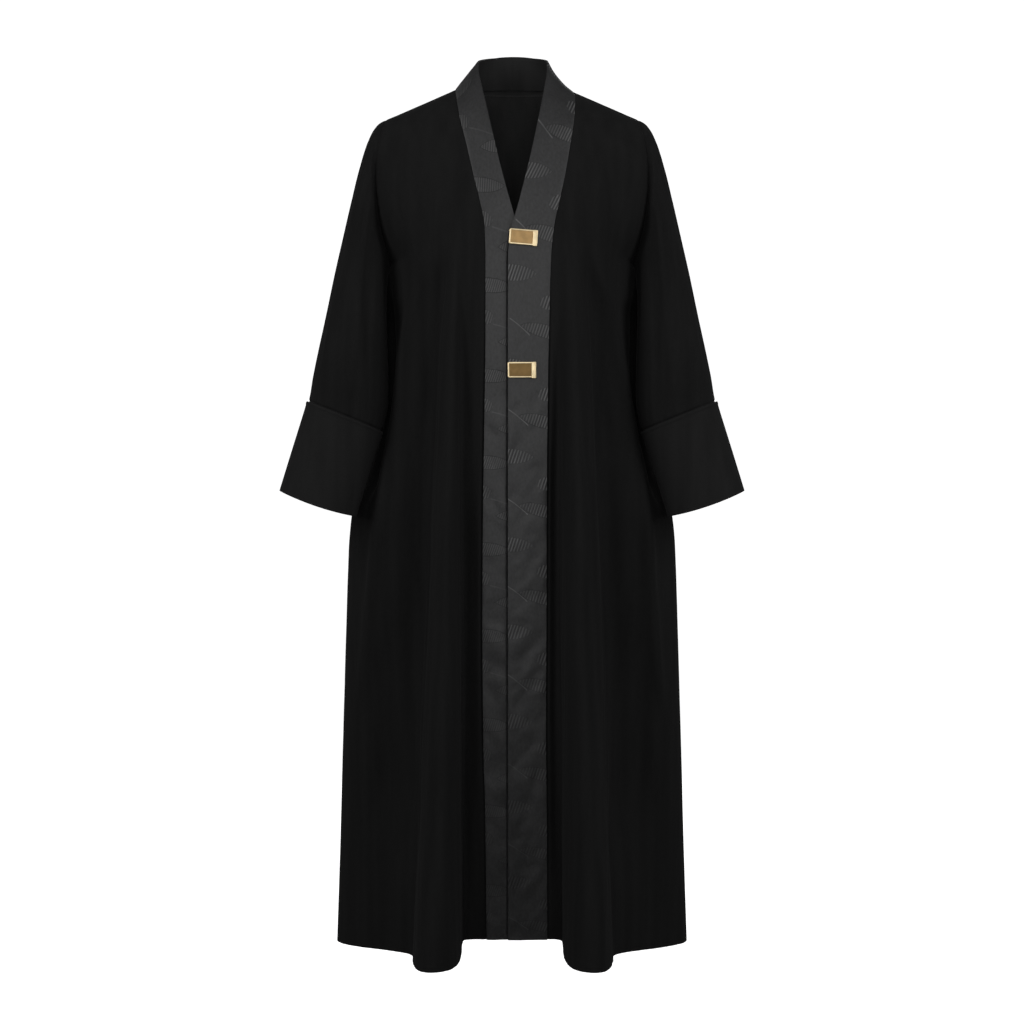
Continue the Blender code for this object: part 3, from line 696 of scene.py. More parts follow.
FRONT_CREASES = {
    Side.RIGHT: creases(
        (10, -7, 0.25, (111, -250), (116, -330), (126, -425), (136, -520), (146, -620)),
        (32, -23, 0.22, (126, -400), (132, -603), (137, -780), (146, -1006), (158, -1340)),
        (34, -15, 0.45, (165, -760), (176, -980), (186, -1180), (196, -1400)),
        (19, -9, 0.2, (80, -600), (81, -700), (82, -850), (83, -1100), (83, -1370)),
        (10, 4, 0.2, (92, -240), (94, -360), (98, -452), (103, -566), (109, -700), (112, -900)),
        (5, 3.4, 0.15, (101, -280), (109, -360), (114, -452), (119, -566), (125, -683), (132, -801), (140, -974),
         (151, -1200)),
        (10, 8, 0.15, (148, -300), (165, -377), (179, -450), (192, -546), (206, -635), (222, -756), (236, -885),
         (250, -1055)),
        (18.5, 12, 0.35, (194, -270), (197, -330), (199, -390)),
        (9, -2.5, 0.3, (74, -330), (74, -430), (72, -540), (70, -640)),
        (6, -11, 0.2, (206.5, -300), (205.5, -370), (201.5, -430), (201, -518), (212, -589), (230, -655),
         (250, -706)),
        (9, 3, 0.35, (138, -255), (149, -330), (160, -400)),
        (20, -7, 0.3, (206, -845), (212, -1039), (217, -1265)),
        (12, -2.6, 0.35, (160, -118), (158, -200), (156, -290)),
        (10, 2.2, 0.35, (200, -170), (193, -230), (184, -290)),
    ),
    Side.LEFT: creases(
        (10, -7, 0.25, (124, -250), (130, -336), (138, -425), (146, -522), (156, -619)),
        (32, -23, 0.22, (140, -400), (143, -603), (147, -780), (156, -1006), (168, -1340)),
        (34, -15, 0.45, (172, -760), (184, -980), (194, -1180), (204, -1400)),
        (19, -6, 0.15, (82, -420), (83, -600), (85, -800), (86, -1100), (86, -1370)),
        (10, 4, 0.2, (94, -240), (98, -360), (101, -452), (105, -566), (110, -700), (114, -900)),
        (5, 3.4, 0.15, (119, -296), (124, -457), (128, -587), (133, -700), (140, -829), (148, -1006), (157, -1233)),
        (10, 8, 0.12, (133, -272), (156, -360), (172, -441), (187, -509), (199, -570), (213, -632), (222, -756),
         (232, -893), (245, -1055)),
        (18.5, 12, 0.35, (192, -270), (194, -320), (196, -380)),
        (8, -3, 0.12, (66, -560), (67, -780), (67, -1006), (67, -1249), (67, -1378)),
        (6, -11, 0.2, (208.5, -300), (206, -370), (203.5, -464), (203, -518), (213, -589), (230, -650),
         (252, -706)),
        (20, -7, 0.3, (211, -845), (217, -1039), (224, -1265)),
        (12, -2.6, 0.35, (166, -118), (162, -200), (160, -290)),
        (10, 2.2, 0.35, (200, -170), (193, -230), (184, -290)),
    ),
}

BACK_CREASES = creases(
    (12, -4, 0.25, (-165, -300), (-175, -450), (-185, -640)),
    (14, 4, 0.3, (-120, -220), (-128, -400), (-140, -600)),
    (10, -2.2, 0.3, (-70, -100), (-72, -280), (-78, -470)),
    (12, -2.6, 0.3, (-20, -80), (-16, -260), (-10, -480)),
    (14, 3, 0.25, (12, -160), (16, -400), (10, -700)),
    (11, 2.4, 0.3, (62, -110), (66, -300), (60, -520)),
    (13, -4.5, 0.25, (105, -180), (118, -380), (128, -640)),
    (11, 3.5, 0.25, (150, -270), (165, -420), (180, -640)),
    (16, -5, 0.25, (-195, -620), (-205, -850), (-214, -1120)),
    (18, 6, 0.25, (-10, -640), (-6, -900), (-4, -1180)),
    (14, -5, 0.25, (112, -700), (124, -950), (132, -1230)),
    (12, 4, 0.25, (-150, -720), (-146, -960), (-150, -1240)),
)

SLEEVE_CREASES = creases(
    (5, 2.8, 0.3, (230, -93), (230, -158), (227, -232)),
    (7, -2.2, 0.3, (239, -109), (242, -191), (247, -290)),
    (9, 2.6, 0.3, (227, -280), (223, -360), (221, -440)),
    (8, -2.2, 0.3, (238, -293), (236, -388), (234, -486)),
    (11, -2.8, 0.3, (268, -240), (278, -355), (285, -462)),
    (9, 2.4, 0.3, (289, -339), (296, -421), (304, -503)),
    (8, 2, 0.35, (262, -421), (263, -486), (265, -527)),
)

SLEEVE_BACK_CREASES = creases(
    (8, -3, 0.3, (238, -140), (244, -220), (252, -310)),
    (9, 3.2, 0.3, (226, -230), (229, -330), (232, -430)),
    (10, 2.8, 0.3, (270, -230), (277, -340), (288, -460)),
    (9, -3, 0.3, (252, -330), (257, -410), (262, -500)),
    (9, -2.4, 0.3, (300, -350), (307, -420), (316, -490)),
)


def cuff_ring(share: float) -> ArmRing:
    """The ring at this share of the way from the cuff's top down to its hem."""
    return ArmRing(*(a + (b - a) * share for a, b in zip(CUFF_TOP, CUFF_HEM)))


def side_line(facing: int, below: int = ROWS_BELOW_ARMS, above: int = ROWS_AT_ARMHOLE) -> Array:
    """Draws the side seam, then half of the armhole, from the hem up.

    Args:
        facing: 1 for the front half of the armhole and -1 for the back half.
        below: rows below the arms.
        above: rows at the armhole.

    Returns:
        The line's points.
    """
    heights = np.linspace(HEM, UNDERARM, below + 1)
    widths, set_back = (curve(BODY_LEVELS, name, heights) for name in ("half_width", "side_set_back"))
    angles = np.linspace(0.0, math.pi, above + 1)[1:]
    return np.concatenate([np.stack([widths, set_back, heights], axis=1), ARMHOLE.line(facing * angles)])


def front_lines(
    stations: Sequence[FrontStation], below: int = ROWS_BELOW_ARMS, above: int = ROWS_AT_ARMHOLE
) -> tuple[Array, Array, Array]:
    """Draws a band's two edges from the hem up.

    Args:
        stations: the table of this side's front edge.
        below: rows below the arms.
        above: rows at the armhole.

    Returns:
        The seam to the front, the free edge and the band's sag, row by row.
    """
    values = {name: column(stations, name) for name in FrontStation._fields}
    seam = np.stack([values["seam"], -values["forward"], values["height"]], axis=1)
    edge = np.stack([values["edge"], -values["edge_forward"], values["height"] + values["edge_rise"]], axis=1)
    along = lengths_along(seam)
    at_underarm = np.interp(-UNDERARM, -seam[:, 2], along)
    lower = np.linspace(along[-1], at_underarm, below + 1)
    rows = np.concatenate([lower, np.linspace(at_underarm, 0.0, above + 1)[1:]])
    lines = [np.stack([smooth(along, line[:, axis], rows) for axis in range(3)], axis=1) for line in (seam, edge)]
    return *lines, smooth(along, values["sag"], rows)


def back_neck(shoulder: FrontStation, columns: int = BACK_NECK_COLUMNS) -> tuple[Array, Array]:
    """Draws the back neck from the middle of the back to the shoulder.

    Args:
        shoulder: the first station of this side's front edge.
        columns: how many cells it has.

    Returns:
        The seam to the back and the band's free edge.
    """
    angles = np.linspace(0.0, math.pi / 2, columns + 1)
    sine, cosine = np.sin(angles), np.cos(angles)
    seam_z = shoulder.height + (BACK_NECK_HEIGHT - shoulder.height) * cosine
    seam = np.stack([shoulder.seam * sine, BACK_NECK_DEPTH * cosine, seam_z], axis=1)
    top_z = shoulder.height + shoulder.edge_rise
    edge_y = -shoulder.edge_forward + (BAND_TOP_DEPTH + shoulder.edge_forward) * cosine
    edge_z = top_z + (BAND_TOP_HEIGHT - top_z) * cosine
    return seam, np.stack([shoulder.edge * sine, edge_y, edge_z], axis=1)


def section(middle: Array, side: Array, turn: float, squareness: float) -> Array:
    """Draws a rounded section from its middle point to its side point.

    Args:
        middle: the point at the middle of the body.
        side: the point at the side seam or armhole.
        turn: how far round the section turns.
        squareness: 1 for an ellipse, less for a squarer section.

    Returns:
        The section's points.
    """
    share = np.linspace(0.0, 1.0, SECTION_POINTS)
    across = (np.sin(turn * share) / math.sin(turn)) ** squareness
    depth = np.clip((np.cos(turn * share) - math.cos(turn)) / (1 - math.cos(turn)), 0.0, 1.0) ** squareness
    x = middle[0] + (side[0] - middle[0]) * across
    y = side[1] + (middle[1] - side[1]) * depth
    return np.stack([x, y, middle[2] + (side[2] - middle[2]) * across], axis=1)


def column_shares(points: Array, pipes: Sequence[Pipe], height: float, counts: Sequence[int]) -> Array:
    """Places the columns along a section, so many in each stretch between pipe sides.

    Args:
        points: the section's points.
        pipes: the pipes on it, from its first point on.
        height: the section's height.
        counts: how many columns each stretch has.

    Returns:
        The columns' places, from 0 to 1.
    """
    sides = []
    for pipe in pipes:
        near, far = pipe.sides(height)
        spread = COLUMN_SPREAD * (1 - pipe.share(height))
        sides += [near - spread, far + spread]
    sides = np.clip(sides, points[0, 0] + COLUMN_MARGIN, points[-1, 0] - COLUMN_MARGIN)
    ends = [0.0, *np.interp(sides, points[:, 0], bent_lengths(points)), 1.0]
    shares = [np.linspace(a, b, count, endpoint=False) for a, b, count in zip(ends, ends[1:], counts)]
    return np.concatenate([*shares, [1.0]])


def armhole_groove(points: Array) -> Array:
    """Works out how the cloth sinks beside the armhole, deepest under the arm.

    Args:
        points: the grid's points, by row and column.

    Returns:
        How far each point moves, which is the same on both sides of the seam.
    """
    angles = np.linspace(0.0, 2 * math.pi, ARMHOLE_POINTS)
    nearest = np.full(points.shape[:2], np.inf)
    depth = np.zeros(points.shape[:2])
    for spot, angle in zip(ARMHOLE.line(angles), angles):
        away = np.linalg.norm(points - spot, axis=2)
        low = (1 + math.cos(angle)) / 2
        sink = ARMHOLE_SINK * low + ARMHOLE_SEAM_SINK * math.sin(angle / 2) ** 0.5
        depth = np.where(away < nearest, sink, depth)
        nearest = np.minimum(nearest, away)
    moved = np.zeros_like(points)
    sunk = depth * bell(nearest, ARMHOLE_SINK_WIDTH)
    moved[..., 1] = -np.sign(points[..., 1]) * sunk * eased(np.abs(points[..., 1]), *ARMHOLE_SINK_ENDS)
    return moved


def away_from_underarm(points: Array) -> Array:
    """How far each point is from the place under the arm where the pieces meet, from 0 to 1."""
    spot = np.array([UNDERARM_HALF_WIDTH, 0.0, UNDERARM])
    return eased(np.linalg.norm(points - spot, axis=2), *UNDERARM_REACH)


def operator(operation: str, reflected: bool = False) -> Callable[..., "Signal"]:
    """Makes one of a signal's operators.

    Args:
        operation: the Math node's operation.
        reflected: whether the signal comes second.

    Returns:
        The operator.
    """

    def apply(signal: "Signal", *other: "Signal | float") -> "Signal":
        """Adds the Math node."""
        return signal.graph.math(operation, *((*other, signal) if reflected else (signal, *other)))

    return apply


@dataclass(frozen=True)
class Signal:
    """A node's output that takes part in Python arithmetic. Its remainders are never below nought."""

    graph: "Graph"
    socket: bpy.types.NodeSocket

    __add__ = __radd__ = operator("ADD")
    __sub__ = operator("SUBTRACT")
    __rsub__ = operator("SUBTRACT", True)
    __mul__ = __rmul__ = operator("MULTIPLY")
    __truediv__ = operator("DIVIDE")
    __mod__ = operator("FLOORED_MODULO")
    __abs__ = operator("ABSOLUTE")

    def __neg__(self) -> "Signal":
        """The other sign."""
        return self * -1.0


class Graph:
    """The nodes of one material."""

    def __init__(self, name: str) -> None:
        """Starts a material of that name."""
        self.material = bpy.data.materials.new(name)
        self.material.use_nodes = True
        self.tree = self.material.node_tree
        self.shader = self.tree.nodes["Principled BSDF"]

    def feed(self, socket: bpy.types.NodeSocket, value: object) -> None:
        """Links a signal to a socket, or sets the socket's own value."""
        if isinstance(value, Signal):
            self.tree.links.new(value.socket, socket)
        else:
            socket.default_value = value

    def node(self, kind: str, settings: dict, inputs: dict, output: int | str = 0) -> Signal:
        """Adds any node.

        Args:
            kind: the node's type.
            settings: its settings, which are set first.
            inputs: a value or signal for each named or numbered socket.
            output: which output to hand back.

        Returns:
            That output.
        """
        made = self.tree.nodes.new(kind)
        for key, value in settings.items():
            setattr(made, key, value)
        for key, value in inputs.items():
            self.feed(made.inputs[key], value)
        return Signal(self, made.outputs[output])

    def math(self, operation: str, *values: Signal | float) -> Signal:
        """A Math node on up to three values."""
        return self.node("ShaderNodeMath", {"operation": operation}, dict(enumerate(values)))

    def step(self, value: Signal, low: float, high: float) -> Signal:
        """A soft step from 0 at low to 1 at high."""
        inputs = {"Value": value, "From Min": low, "From Max": high}
        return self.node("ShaderNodeMapRange", {"interpolation_type": "SMOOTHSTEP"}, inputs)

    def mix(self, share: Signal, *ends: Signal | Colour) -> Signal:
        """A colour between two colours."""
        colours = {6 + i: end if isinstance(end, Signal) else (*end, 1.0) for i, end in enumerate(ends)}
        return self.node("ShaderNodeMix", {"data_type": "RGBA", "blend_type": "MIX"}, {0: share, **colours}, 2)

    def place(self) -> Signal:
        """The place on the object, in metres."""
        return self.node("ShaderNodeTexCoord", {}, {}, "Object")

    def cloth_place(self) -> tuple[Signal, ...]:
        """The place across and along the cloth, as the UV map gives it."""
        parts = self.node("ShaderNodeSeparateXYZ", {}, {0: self.node("ShaderNodeUVMap", {"uv_map": "cloth"}, {})})
        return tuple(Signal(self, output) for output in parts.socket.node.outputs[:2])

    def noise(self, place: Signal, scale: float, detail: float = 2.0, stretch: tuple = (1, 1, 1)) -> Signal:
        """Noise from 0 to 1.

        Args:
            place: where it is read.
            scale: how many cells a metre.
            detail: how many finer layers it has.
            stretch: how many times closer its cells are on each axis.

        Returns:
            The noise.
        """
        mapped = self.node("ShaderNodeMapping", {"vector_type": "POINT"}, {"Vector": place, "Scale": stretch})
        return self.node("ShaderNodeTexNoise", {}, {"Vector": mapped, "Scale": scale, "Detail": detail})

    def bump(self, height: Signal, distance: float) -> Signal:
        """A bumped normal, whose heights are in the given distance."""
        return self.node("ShaderNodeBump", {}, {"Height": height, "Distance": distance, "Strength": 1.0}, "Normal")

    def finish(self, **sockets: object) -> Material:
        """Sets the shader's sockets, whose names have _ for a space."""
        for name, value in sockets.items():
            self.feed(self.shader.inputs[name.replace("_", " ")], value)
        return self.material


@dataclass(frozen=True)
class CrepeFinish:
    """A dull black crepe with a fine pebbled grain and faint streaks down it. Scales are cells a metre."""

    name: str
    deep: Colour
    worn: Colour
    sheen: float = 0.02
    pebble_scale: float = 900.0
    fibre_scale: float = 2600.0
    streak_scale: float = 18.0
    streak_stretch: tuple[float, ...] = (3.0, 3.0, 0.12)
    tone_ends: tuple[float, float] = (0.30, 0.85)
    roughness: float = 0.78
    relief: float = 0.00018

    def material(self) -> Material:
        """Builds the crepe.

        Returns:
            The material.
        """
        graph = Graph(self.name)
        place = graph.place()
        pebble = graph.noise(place, self.pebble_scale, 3.0)
        streak = graph.noise(place, self.streak_scale, 2.0, self.streak_stretch)
        tone = graph.step(pebble * 0.60 + streak * 0.50, *self.tone_ends)
        return graph.finish(
            Base_Color=graph.mix(tone, self.deep, self.worn),
            Roughness=self.roughness + 0.16 * pebble,
            Specular_IOR_Level=0.08,
            Sheen_Weight=self.sheen,
            Sheen_Roughness=0.45,
            Normal=graph.bump(pebble * 0.8 + graph.noise(place, self.fibre_scale) * 0.4, self.relief),
        )


@dataclass(frozen=True)
class SatinFinish:
    """A charcoal satin band with a tonal woven leaf, charted in metres across and repeats along the band.

    Its noise scales are in cells a metre, and the hatch is in shares of its pitch.
    """

    side: Side
    ground: Colour = (0.0235, 0.0235, 0.0241)
    light: Colour = (0.1050, 0.1050, 0.1060)
    dark: Colour = (0.0060, 0.0060, 0.0062)
    roughness: float = 0.42
    repeat: float = 0.142
    slant: float = 0.33
    line_ends: tuple[float, float] = (0.0006, 0.0014)
    rim_ends: tuple[float, float] = (0.0008, 0.0015)
    rim_blur: float = 0.0005
    hatch_light: tuple[float, float] = (0.12, 0.28)
    hatch_dark: tuple[float, float] = (0.30, 0.46)
    dark_share: float = 0.70
    fade: float = 0.75
    # Painted shade: where the light strokes begin and end growing fainter towards the hem, in repeats.
    worn_from: tuple[float, float] = (1.5, 7.0)
    weave_scale: float = 1500.0
    crush_scale: float = 42.0
    mottle_scale: float = 300.0
    mottle_tones: tuple[float, float] = (0.82, 1.45)
    relief: float = 0.00035

    def beside(self, place: float, repeats: Signal) -> Signal:
        """How far up from its own place in the nearest repeat a point is, in metres."""
        return ((repeats + place + 0.5) % 1.0 - 0.5) * self.repeat

    def leaf(self, graph: Graph, across: Signal, repeats: Signal, leaf: Leaf) -> tuple[Signal, Signal]:
        """Draws a hatched leaf.

        Args:
            graph: the material's nodes.
            across: the place across the band, in metres.
            repeats: the place along it, in repeats.
            leaf: the leaf's sizes.

        Returns:
            The light of its hatch and the dark of its outline, from 0 to 1.
        """
        up = self.beside(leaf.place, repeats)
        share = (across - leaf.base) / (leaf.tip - leaf.base)
        edge = leaf.half_height * (1 - share * share * share) - abs(up + share * leaf.droop)
        rim = graph.step(edge, 0.0, self.rim_blur) * (1 - graph.step(edge, *self.rim_ends))
        apart = abs((across + up * (self.slant * self.side.value)) % leaf.pitch - leaf.pitch / 2)
        light, dark = ([part * leaf.pitch for part in ends] for ends in (self.hatch_light, self.hatch_dark))
        filled = graph.step(edge, *self.line_ends)
        strokes = filled * (1 - graph.step(apart, *light))
        gaps = filled * graph.step(apart, *dark)
        faded = 1 - self.fade * share
        outlined = graph.math("MAXIMUM", rim * leaf.outline, gaps * faded * self.dark_share * leaf.light)
        return strokes * faded * leaf.light, outlined

    def stem(self, graph: Graph, across: Signal, repeats: Signal, stem: Stem) -> Signal:
        """Draws a stem.

        Args:
            graph: the material's nodes.
            across: the place across the band, in metres.
            repeats: the place along it, in repeats.
            stem: the stem's sizes.

        Returns:
            The light of the stem, from 0 to 1.
        """
        share = (across - stem.start) / (stem.end - stem.start)
        away = abs(self.beside(stem.place, repeats) + (share * 0.75 + share * share * 0.25) * stem.fall)
        line = 1 - graph.step(away, *self.line_ends)
        worn = 0.55 + 0.45 * abs(share - 0.5) * 2
        return line * worn * graph.step(share, -0.02, 0.02) * (1 - graph.step(share, 0.97, 1.0)) * stem.light

    def material(self) -> Material:
        """Builds the satin.

        Returns:
            The material.
        """
        graph = Graph(f"charcoal_satin_{self.side.word}")
        across, repeats = graph.cloth_place()
        drawn = [self.leaf(graph, across, repeats, leaf) for leaf in LEAVES[self.side]]
        light, dark = drawn[0]
        for strokes, rim in drawn[1:]:
            light, dark = graph.math("MAXIMUM", light, strokes), graph.math("MAXIMUM", dark, rim)
        for stem in STEMS[self.side]:
            light = graph.math("MAXIMUM", light, self.stem(graph, across, repeats, stem))
        # Painted shade: the light strokes grow up to 70 % fainter from 1.5 repeats below the first leaf under the
        # neck down to the hem.
        light = light * (1 - 0.7 * graph.step(-repeats, *self.worn_from))
        place = graph.place()
        weave = graph.noise(place, self.weave_scale, 2.0, (1.0, 1.0, 0.3))
        crush = graph.noise(place, self.crush_scale, 4.0)
        mottle = graph.noise(place, self.mottle_scale, 3.0, (1.0, 1.0, 0.6))
        slubs = crush * 0.3 + mottle * 2.0 + weave * 0.2 - 0.75
        cloth = graph.mix(slubs, *(tuple(tone * part for part in self.ground) for tone in self.mottle_tones))
        relief = light * 0.55 + crush * 0.9 + mottle * 0.35 + weave * 0.12 - dark * 0.5
        return graph.finish(
            Base_Color=graph.mix(dark, graph.mix(light, cloth, self.light), self.dark),
            Roughness=self.roughness + 0.10 * crush + 0.10 * dark - light * 0.05,
            Specular_IOR_Level=0.45,
            Normal=graph.bump(relief, self.relief),
        )


@dataclass(frozen=True)
class GoldFinish:
    """Brushed gold-coloured metal. Scales are cells a metre."""

    name: str
    colour: Colour
    roughness: float = 0.42
    brush_scale: float = 900.0
    cloud_scale: float = 90.0
    cloud_tone: float = 0.80
    relief: float = 0.00003

    def material(self) -> Material:
        """Builds the metal.

        Returns:
            The material.
        """
        graph = Graph(self.name)
        place = graph.place()
        brush = graph.noise(place, self.brush_scale, 2.0, (2.2, 1.0, 0.06))
        cloud = graph.step(graph.noise(place, self.cloud_scale, 3.0), 0.3, 0.7)
        return graph.finish(
            Base_Color=graph.mix(cloud, tuple(self.cloud_tone * part for part in self.colour), self.colour),
            Roughness=self.roughness + 0.12 * brush,
            Metallic=1.0,
            Normal=graph.bump(brush, self.relief),
        )


def added(mesh: bpy.types.Mesh, build: bmesh.types.BMesh, *finishes: Material) -> bpy.types.Object:
    """Turns a finished shape into an object of the scene.

    Args:
        mesh: the mesh that takes the shape, which has the object's name.
        build: the shape.
        finishes: its materials.

    Returns:
        The object.
    """
    build.to_mesh(mesh)
    build.free()
    for finish in finishes:
        mesh.materials.append(finish)
    made = bpy.data.objects.new(mesh.name, mesh)
    bpy.context.scene.collection.objects.link(made)
    return made


@dataclass(frozen=True)
class ClothPiece:
    """A kind of cloth piece. Its names have {} where the side's name goes."""

    part: str
    slot: str
    thickness: float
    flat: tuple[float, float]
    area: float
    rests_on: tuple[str, ...]

    def build(
        self, side: Side, points: Array, turn: int, *finishes: Material, closed: bool = False,
        repeats: Array | None = None,
    ) -> None:
        """Args:
            side: which side it is for.
            points: the outer points, by row and column.
            turn: 1 where the grid faces out on the left side, and -1 where it faces in.
            finishes: the outer and the inner material.
            closed: whether the columns run round a tube.
            repeats: the motif's repeats at each point, which then take the place of metres along the cloth.
        """
        points = side.placed(points)
        if repeats is not None:
            points = np.concatenate([points, repeats[..., None]], axis=2)
        points = bordered(points, 0)
        if not closed:
            points = bordered(points, 1)
        across, along = measured(points[..., :3])
        if repeats is not None:
            along = points[..., 3]
        rows, columns = across.shape
        node = self.part.format(side.word)
        build = bmesh.new()
        bmesh.ops.create_grid(build, x_segments=columns - 1, y_segments=rows - 1, size=1.0)
        mesh = bpy.data.meshes.new(f"cloth_{node}")
        build.to_mesh(mesh)
        spots = np.empty(len(mesh.vertices) * 3)
        mesh.vertices.foreach_get("co", spots)
        spots = (spots.reshape(-1, 3)[:, :2] + 1) / 2 * [columns - 1, rows - 1]
        cols, lines = np.rint(spots).astype(int).T
        mesh.vertices.foreach_set("co", points[lines, cols, :3].ravel())
        corners = np.empty(len(mesh.loops), dtype=np.int32)
        mesh.loops.foreach_get("vertex_index", corners)
        places = np.stack([across[lines, cols], along[lines, cols]], axis=1)[corners]
        mesh.uv_layers.new(name="cloth").data.foreach_set("uv", places.ravel())
        build.clear()
        build.from_mesh(mesh)
        if closed:
            bmesh.ops.remove_doubles(build, verts=build.verts[:], dist=1e-6)
        if turn * side.value < 0:
            bmesh.ops.reverse_faces(build, faces=build.faces[:])
        made = added(mesh, build, *finishes)
        mesh.shade_smooth()
        wall = made.modifiers.new("wall", "SOLIDIFY")
        wall.material_offset = 1
        wall.thickness = self.thickness
        wall.offset = -1.0
        wall.use_quality_normals = True
        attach(made, "root")
        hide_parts(node)
        LOG.info("%s: %d by %d cells", made.name, rows - 1, columns - 1)


@dataclass
class NeckStitches:
    """The row of stitches inside the back, just below the seam of the neck."""

    finish: Material
    below_seam: float = 0.0090
    half_width: float = 0.0800
    pitch: float = 0.0030
    length: float = 0.0023
    radius: float = 0.0005
    sides: int = 6

    def line(self, points: Array) -> Array:
        """Draws the line of the stitches on the inside of the back.

        Args:
            points: the back's outer points, whose last row runs along the shoulders and the neck.

        Returns:
            Points along the line.
        """
        inner = points + grid_normals(points, False) * (CREPE + 0.5 * self.radius)
        down = inner[::-1, np.abs(points[-1, :, 0]) < self.half_width].swapaxes(0, 1)
        return np.array([read_line(spots, lengths_along(spots), self.below_seam) for spots in down])

    def build(self, points: Array) -> None:
        """Builds the stitches as one mesh.

        Args:
            points: the back's outer points.
        """
        line = self.line(points)
        along = lengths_along(line)
        build = bmesh.new()
        for place in np.arange(self.pitch, along[-1] - self.pitch, self.pitch):
            start, end = (Vector(spot) for spot in read_line(line, along, np.array([place, place + self.length])))
            turn = (end - start).to_track_quat("Z", "Y").to_matrix().to_4x4()
            bmesh.ops.create_cone(
                build, cap_ends=True, segments=self.sides, radius1=self.radius, radius2=self.radius,
                depth=self.length, matrix=Matrix.Translation((start + end) / 2) @ turn,
            )
        made = added(bpy.data.meshes.new("stitches_neck"), build, self.finish)
        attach(made, "root")
        LOG.info("%s: %d faces", made.name, len(made.data.polygons))


@dataclass
class Body:
    """The two fronts and the back."""

    finish: Material
    # The crepe of the inner faces: a lighter copy of the black crepe, with painted light on cloth in shade.
    inside: Material
    thread: Material
    front: ClothPiece = ClothPiece("front_{}", "crepe", CREPE, (0.52, 1.46), 0.50, ("cloth_back",))
    back: ClothPiece = ClothPiece(
        "back", "crepe", CREPE, (1.02, 1.50), 0.98, ("cloth_front_right", "cloth_front_left")
    )
    streak_width: float = 0.024
    streak_length: float = 0.55
    streak_rise: float = 0.0012
    streaks_start: tuple[float, float] = (0.05, 0.16)
    streaks_grow: tuple[float, float] = (0.10, 0.60)
    band_ditch: float = 0.0034
    ditch_width: float = 0.0030
    ditch_grows: tuple[float, float] = (0.22, 0.60)
    calm_beside_seams: float = 0.016
    calm_at_top: float = 0.02

    def front_grid(self, side: Side) -> Array:
        """Draws a front on its solid's points.

        Args:
            side: which front.

        Returns:
            Rows from the hem up, columns from the band seam to the side.
        """
        seam = front_lines(FRONTS[side])[0]
        edge = side_line(1)
        squareness = curve(BODY_LEVELS, "squareness", np.minimum(edge[:, 2], UNDERARM))
        even = np.linspace(0.0, 1.0, sum(FRONT_COLUMNS) + 1)
        rows = []
        for row, (middle, end) in enumerate(zip(seam, edge)):
            if row > ROWS_BELOW_ARMS:
                rounder = squareness[row] + (1 - squareness[row]) * above_arms(row)
                points = evened(section(middle, end, row_turn(row), rounder))
                rows.append(at_shares(points, shares + (even - shares) * above_arms(row)))
                continue
            height = end[2]
            points = section(np.array([middle[0], middle[1], height]), end, row_turn(row), squareness[row])
            across, rise = (curve(SIDE_RIDGE, name, height) for name in ("across", "rise"))
            points[:-1, 1] -= rise * bell(points[:-1, 0] - across, SIDE_RIDGE_WIDTH)
            if PIPES[side].share(height) > 0:
                points = PIPES[side].raised(points, height, 1)
            points = evened(points)
            shares = column_shares(points, [PIPES[side]], height, FRONT_COLUMNS)
            points = at_shares(points, shares)
            beside = np.clip((RISE_WIDTH - points[:, 0] + middle[0]) / RISE_FADE, 0.0, 1.0)
            low = np.clip(1 + (points[:, 1] - middle[1]) / RISE_DEPTH, 0.0, 1.0)
            points[:, 2] += (middle[2] - height) * beside * low
            rows.append(points)
        return self.fitted(refined(refined(np.array(rows), FINE_ROWS), (FINE_FRONT,) * sum(FRONT_COLUMNS), 1), 1)

    def fitted(self, points: Array, facing: int) -> Array:
        """Sets the last column of a finer grid on the true side seam and armhole.

        Args:
            points: the grid's points.
            facing: 1 at the front and -1 at the back.

        Returns:
            The grid, moved less and less towards its middle.
        """
        shift = side_line(facing, ALL_BELOW_ARMS, ALL_AT_ARMHOLE) - points[:, -1]
        reach = eased(np.arange(points.shape[1]), 0.8 * points.shape[1], points.shape[1] - 1)
        return points + shift[:, None] * reach[None, :, None]

    def back_grid(self) -> Array:
        """Draws the back on its solid's points.

        Returns:
            Rows from the hem up, columns from the right side to the left.
        """
        side = side_line(-1)
        top = np.linspace(UNDERARM, BACK_NECK_HEIGHT, ROWS_AT_ARMHOLE + 1)[1:]
        heights = np.concatenate([side[: ROWS_BELOW_ARMS + 1, 2], top])
        depths, squareness = (curve(BACK_LINE, name, heights) for name in ("depth", "squareness"))
        even = np.linspace(0.0, 1.0, sum(BACK_COLUMNS) + 1)
        rows = []
        for row, end in enumerate(side):
            half = section(np.array([0.0, depths[row], heights[row]]), end, row_turn(row), squareness[row])
            points = np.concatenate([Side.RIGHT.placed(half)[::-1], half[1:]])
            for pipe in BACK_PIPES:
                if row <= ROWS_BELOW_ARMS and pipe.share(end[2]) > 0:
                    points = pipe.raised(points, end[2], -1)
            points = evened(points)
            if row <= ROWS_BELOW_ARMS:
                shares = column_shares(points, BACK_PIPES, heights[row], BACK_COLUMNS)
            rows.append(at_shares(points, shares + (even - shares) * above_arms(row)))
        rows = np.array(rows)
        halves = []
        for stations in FRONTS.values():
            seam = back_neck(stations[0])[0]
            halves.append(np.concatenate([seam, np.linspace(seam[-1], side[-1], BACK_SHOULDER_COLUMNS + 1)[1:]]))
        shift = np.concatenate([Side.RIGHT.placed(halves[0])[::-1], halves[1][1:]]) - rows[-1]
        for row in range(ROWS_BELOW_ARMS, len(rows)):
            rows[row] += softened(shift, 3 * (len(rows) - 1 - row)) * above_arms(row) ** 2
        points = self.fitted(refined(refined(rows, FINE_ROWS), (FINE_BACK,) * sum(BACK_COLUMNS), 1), -1)
        return Side.RIGHT.placed(self.fitted(Side.RIGHT.placed(points[:, ::-1]), -1))[:, ::-1]

